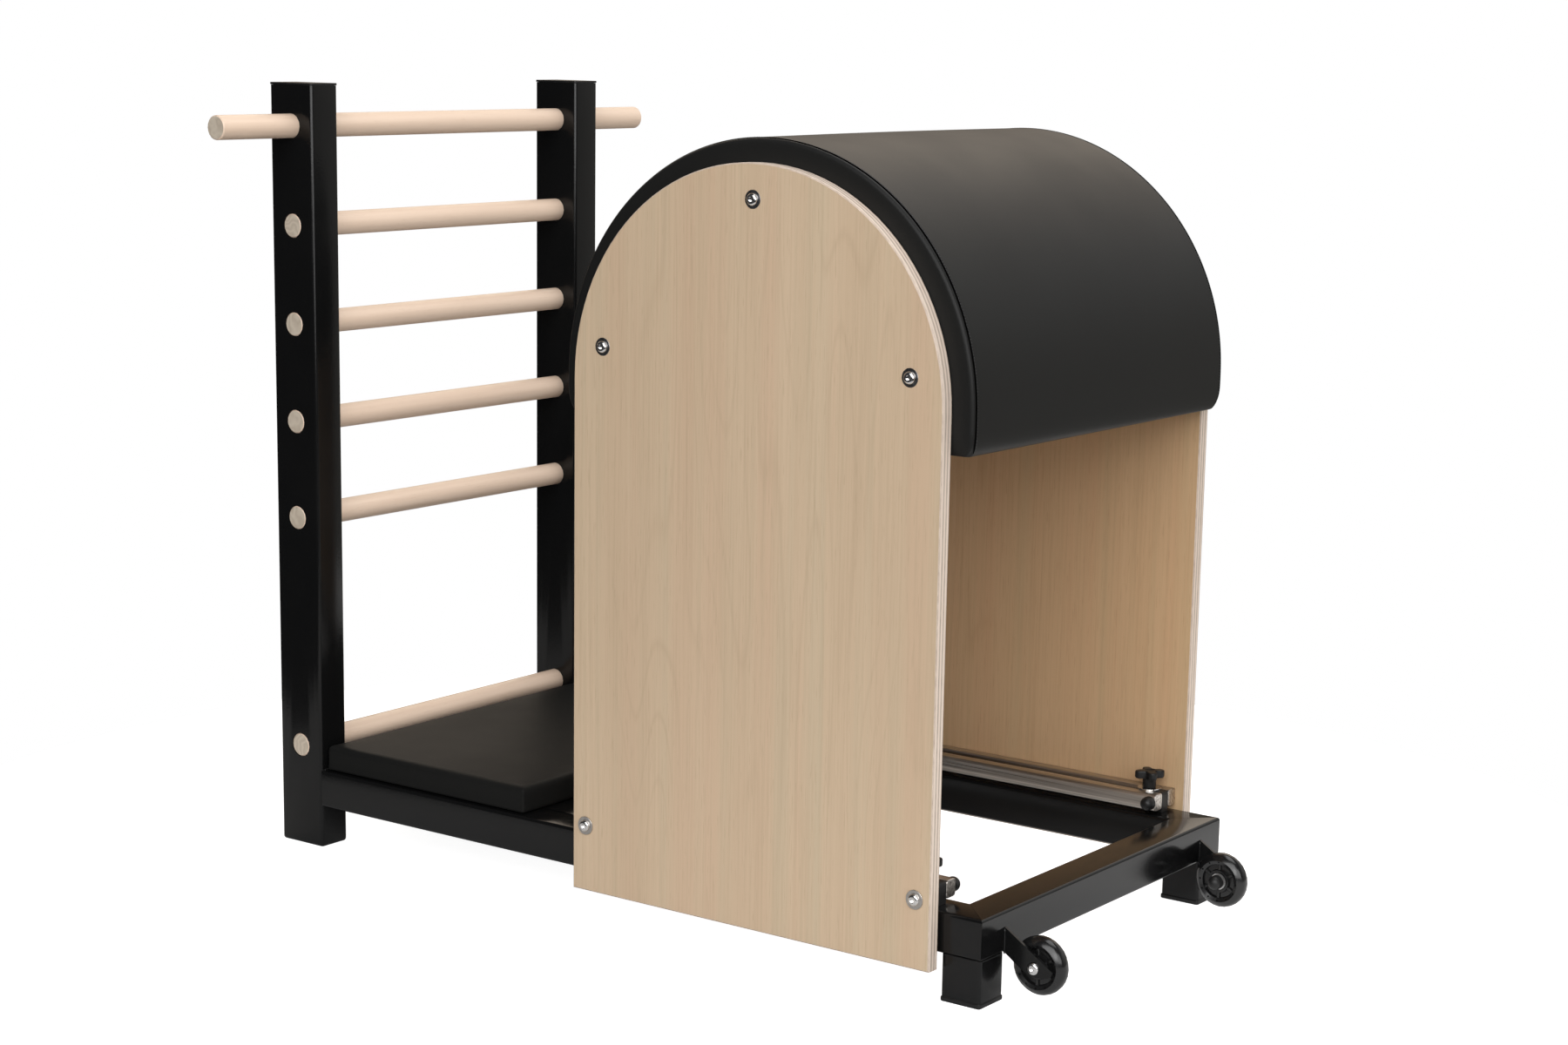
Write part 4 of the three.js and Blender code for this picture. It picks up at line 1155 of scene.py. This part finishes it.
def plate_runs(side):
    """The same for the beads that join a wheel's plate to the front tube."""
    low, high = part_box(f"caster_plate_{side}")
    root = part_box("front_cross_tube")[1].x + PLATE_BEAD_GAP
    runs = []
    for y in (low.y, high.y):
        start = Vector((root, y, high.z - PLATE_BEAD_FROM))
        runs.append((start, Vector((root, y, high.z - PLATE_BEAD_TO)), PLATE_BEAD))
    return runs


def rail_runs(side):
    """The same for the beads that join a side rail to its post and to the middle tube."""
    low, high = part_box(f"side_rail_{side}")
    tube_low, tube_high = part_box("middle_cross_tube")
    inner, outer = sorted((low.y, high.y), key=abs)
    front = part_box(f"upright_{side}")[1].x
    end = outer - SIDES[side] * BEAD_INSET
    runs = [(Vector((front, inner, z)), Vector((front, end, z)), RAIL_BEAD) for z in (low.z, high.z)]
    runs.append((Vector((front, inner, low.z)), Vector((front, inner, high.z)), RAIL_BEAD))
    for x in (tube_low.x, tube_high.x):
        start = Vector((x, inner, tube_low.z + BEAD_INSET))
        runs.append((start, Vector((x, inner, tube_high.z - BEAD_INSET)), TUBE_BEAD))
    return runs


def welds(side):
    """All beads on one side of the base."""
    points, faces = [], []
    for start, end, radius in [*leg_runs(side), *plate_runs(side), *rail_runs(side)]:
        add_part(points, faces, *bead(start, end, radius))
    make_piece(f"weld_beads_{side}", points, faces, POWDER_COAT, "base", SOFT_ANGLE)


# Stage
def floor():
    points = [(0, 0, 0)]
    for step in range(FLOOR_STEPS):
        angle = step / FLOOR_STEPS * 2 * math.pi
        points.append((FLOOR_REACH * math.cos(angle), FLOOR_REACH * math.sin(angle), 0))
    faces = [(0, 1 + step, 1 + (step + 1) % FLOOR_STEPS) for step in range(FLOOR_STEPS)]
    mesh = bpy.data.meshes.new("floor")
    mesh.from_pydata(points, [], faces)
    mesh.materials.append(FLOOR_MATERIAL)
    plane = bpy.data.objects.new("floor", mesh)
    bpy.context.scene.collection.objects.link(plane)


def soft_light(name, place, target, size, power):
    data = bpy.data.lights.new(name, "AREA")
    data.shape = "RECTANGLE"
    data.size, data.size_y = size
    data.energy = power
    light = bpy.data.objects.new(name, data)
    light.location = place
    light.rotation_euler = (Vector(target) - Vector(place)).to_track_quat("-Z", "Y").to_euler()
    bpy.context.scene.collection.objects.link(light)


def lights():
    soft_light("key", *KEY_LIGHT)
    soft_light("fill", *FILL_LIGHT)
    soft_light("top", *TOP_LIGHT)


def world():
    """White to the camera. In reflections it is a dark room with a pale glow behind the part on each side."""
    background = bpy.data.worlds.new("studio")
    background.use_nodes = True
    nodes = Nodes(background.node_tree)
    nodes.tree.nodes.clear()
    ray = nodes.add("ShaderNodeTexCoord").outputs["Generated"]
    left = nodes.spread(nodes.toward(ray, BEHIND_LEFT), 0.45, 0.95)
    right = nodes.spread(nodes.toward(ray, BEHIND_RIGHT), 0.45, 0.95)
    height = nodes.toward(ray, (0, 0, 1))
    high = nodes.spread(height, 0.2, 0.5)
    left = nodes.calculate("MULTIPLY", left, nodes.spread(height, 0.5, 0.75, 1, 0))
    shade = nodes.blend(left, ROOM_DARK, nodes.blend(high, GLOW_LEFT, GLOW_LEFT_HIGH))
    above = nodes.spread(height, 0.1, 0.5)
    shade = nodes.blend(right, shade, nodes.blend(above, GLOW_RIGHT, GLOW_RIGHT_HIGH))
    lighting = nodes.add("ShaderNodeBackground", {"Color": shade})
    seen = nodes.add("ShaderNodeBackground", {"Color": (1, 1, 1, 1)})
    path = nodes.add("ShaderNodeLightPath").outputs["Is Camera Ray"]
    mixed = nodes.add("ShaderNodeMixShader", {0: path, 1: lighting.outputs[0], 2: seen.outputs[0]})
    nodes.add("ShaderNodeOutputWorld", {"Surface": mixed.outputs[0]})
    bpy.context.scene.world = background


def camera():
    """Camera at the photograph's place and turn."""
    x, y = -math.sin(CAMERA_AZIMUTH), math.cos(CAMERA_AZIMUTH)
    forward = Vector((x * math.cos(CAMERA_DROP), y * math.cos(CAMERA_DROP), -math.sin(CAMERA_DROP)))
    level = Vector((y, -x, 0))
    upward = level.cross(forward)
    right = level * math.cos(CAMERA_ROLL) + upward * math.sin(CAMERA_ROLL)
    up = upward * math.cos(CAMERA_ROLL) - level * math.sin(CAMERA_ROLL)
    data = bpy.data.cameras.new("camera")
    data.lens = CAMERA_LENS
    data.sensor_width = CAMERA_SENSOR
    data.shift_x, data.shift_y = CAMERA_SHIFT
    eye = bpy.data.objects.new("camera", data)
    turn = Matrix((right, up, -forward)).transposed().to_4x4()
    eye.matrix_world = Matrix.Translation(CAMERA_PLACE) @ turn
    bpy.context.scene.collection.objects.link(eye)
    bpy.context.scene.camera = eye


def make_scene():
    camera()
    floor()
    world()
    lights()
    bpy.context.scene.view_settings.view_transform = "Standard"
    dress_nodes()
    barrel_pad()
    platform_cushion()
    bolts()
    for side in SIDES:
        seam_shadow_line(side)
        pad_stitches(side)
        star_knob(side)
        wheel_spokes(side)
        welds(side)


make_scene()
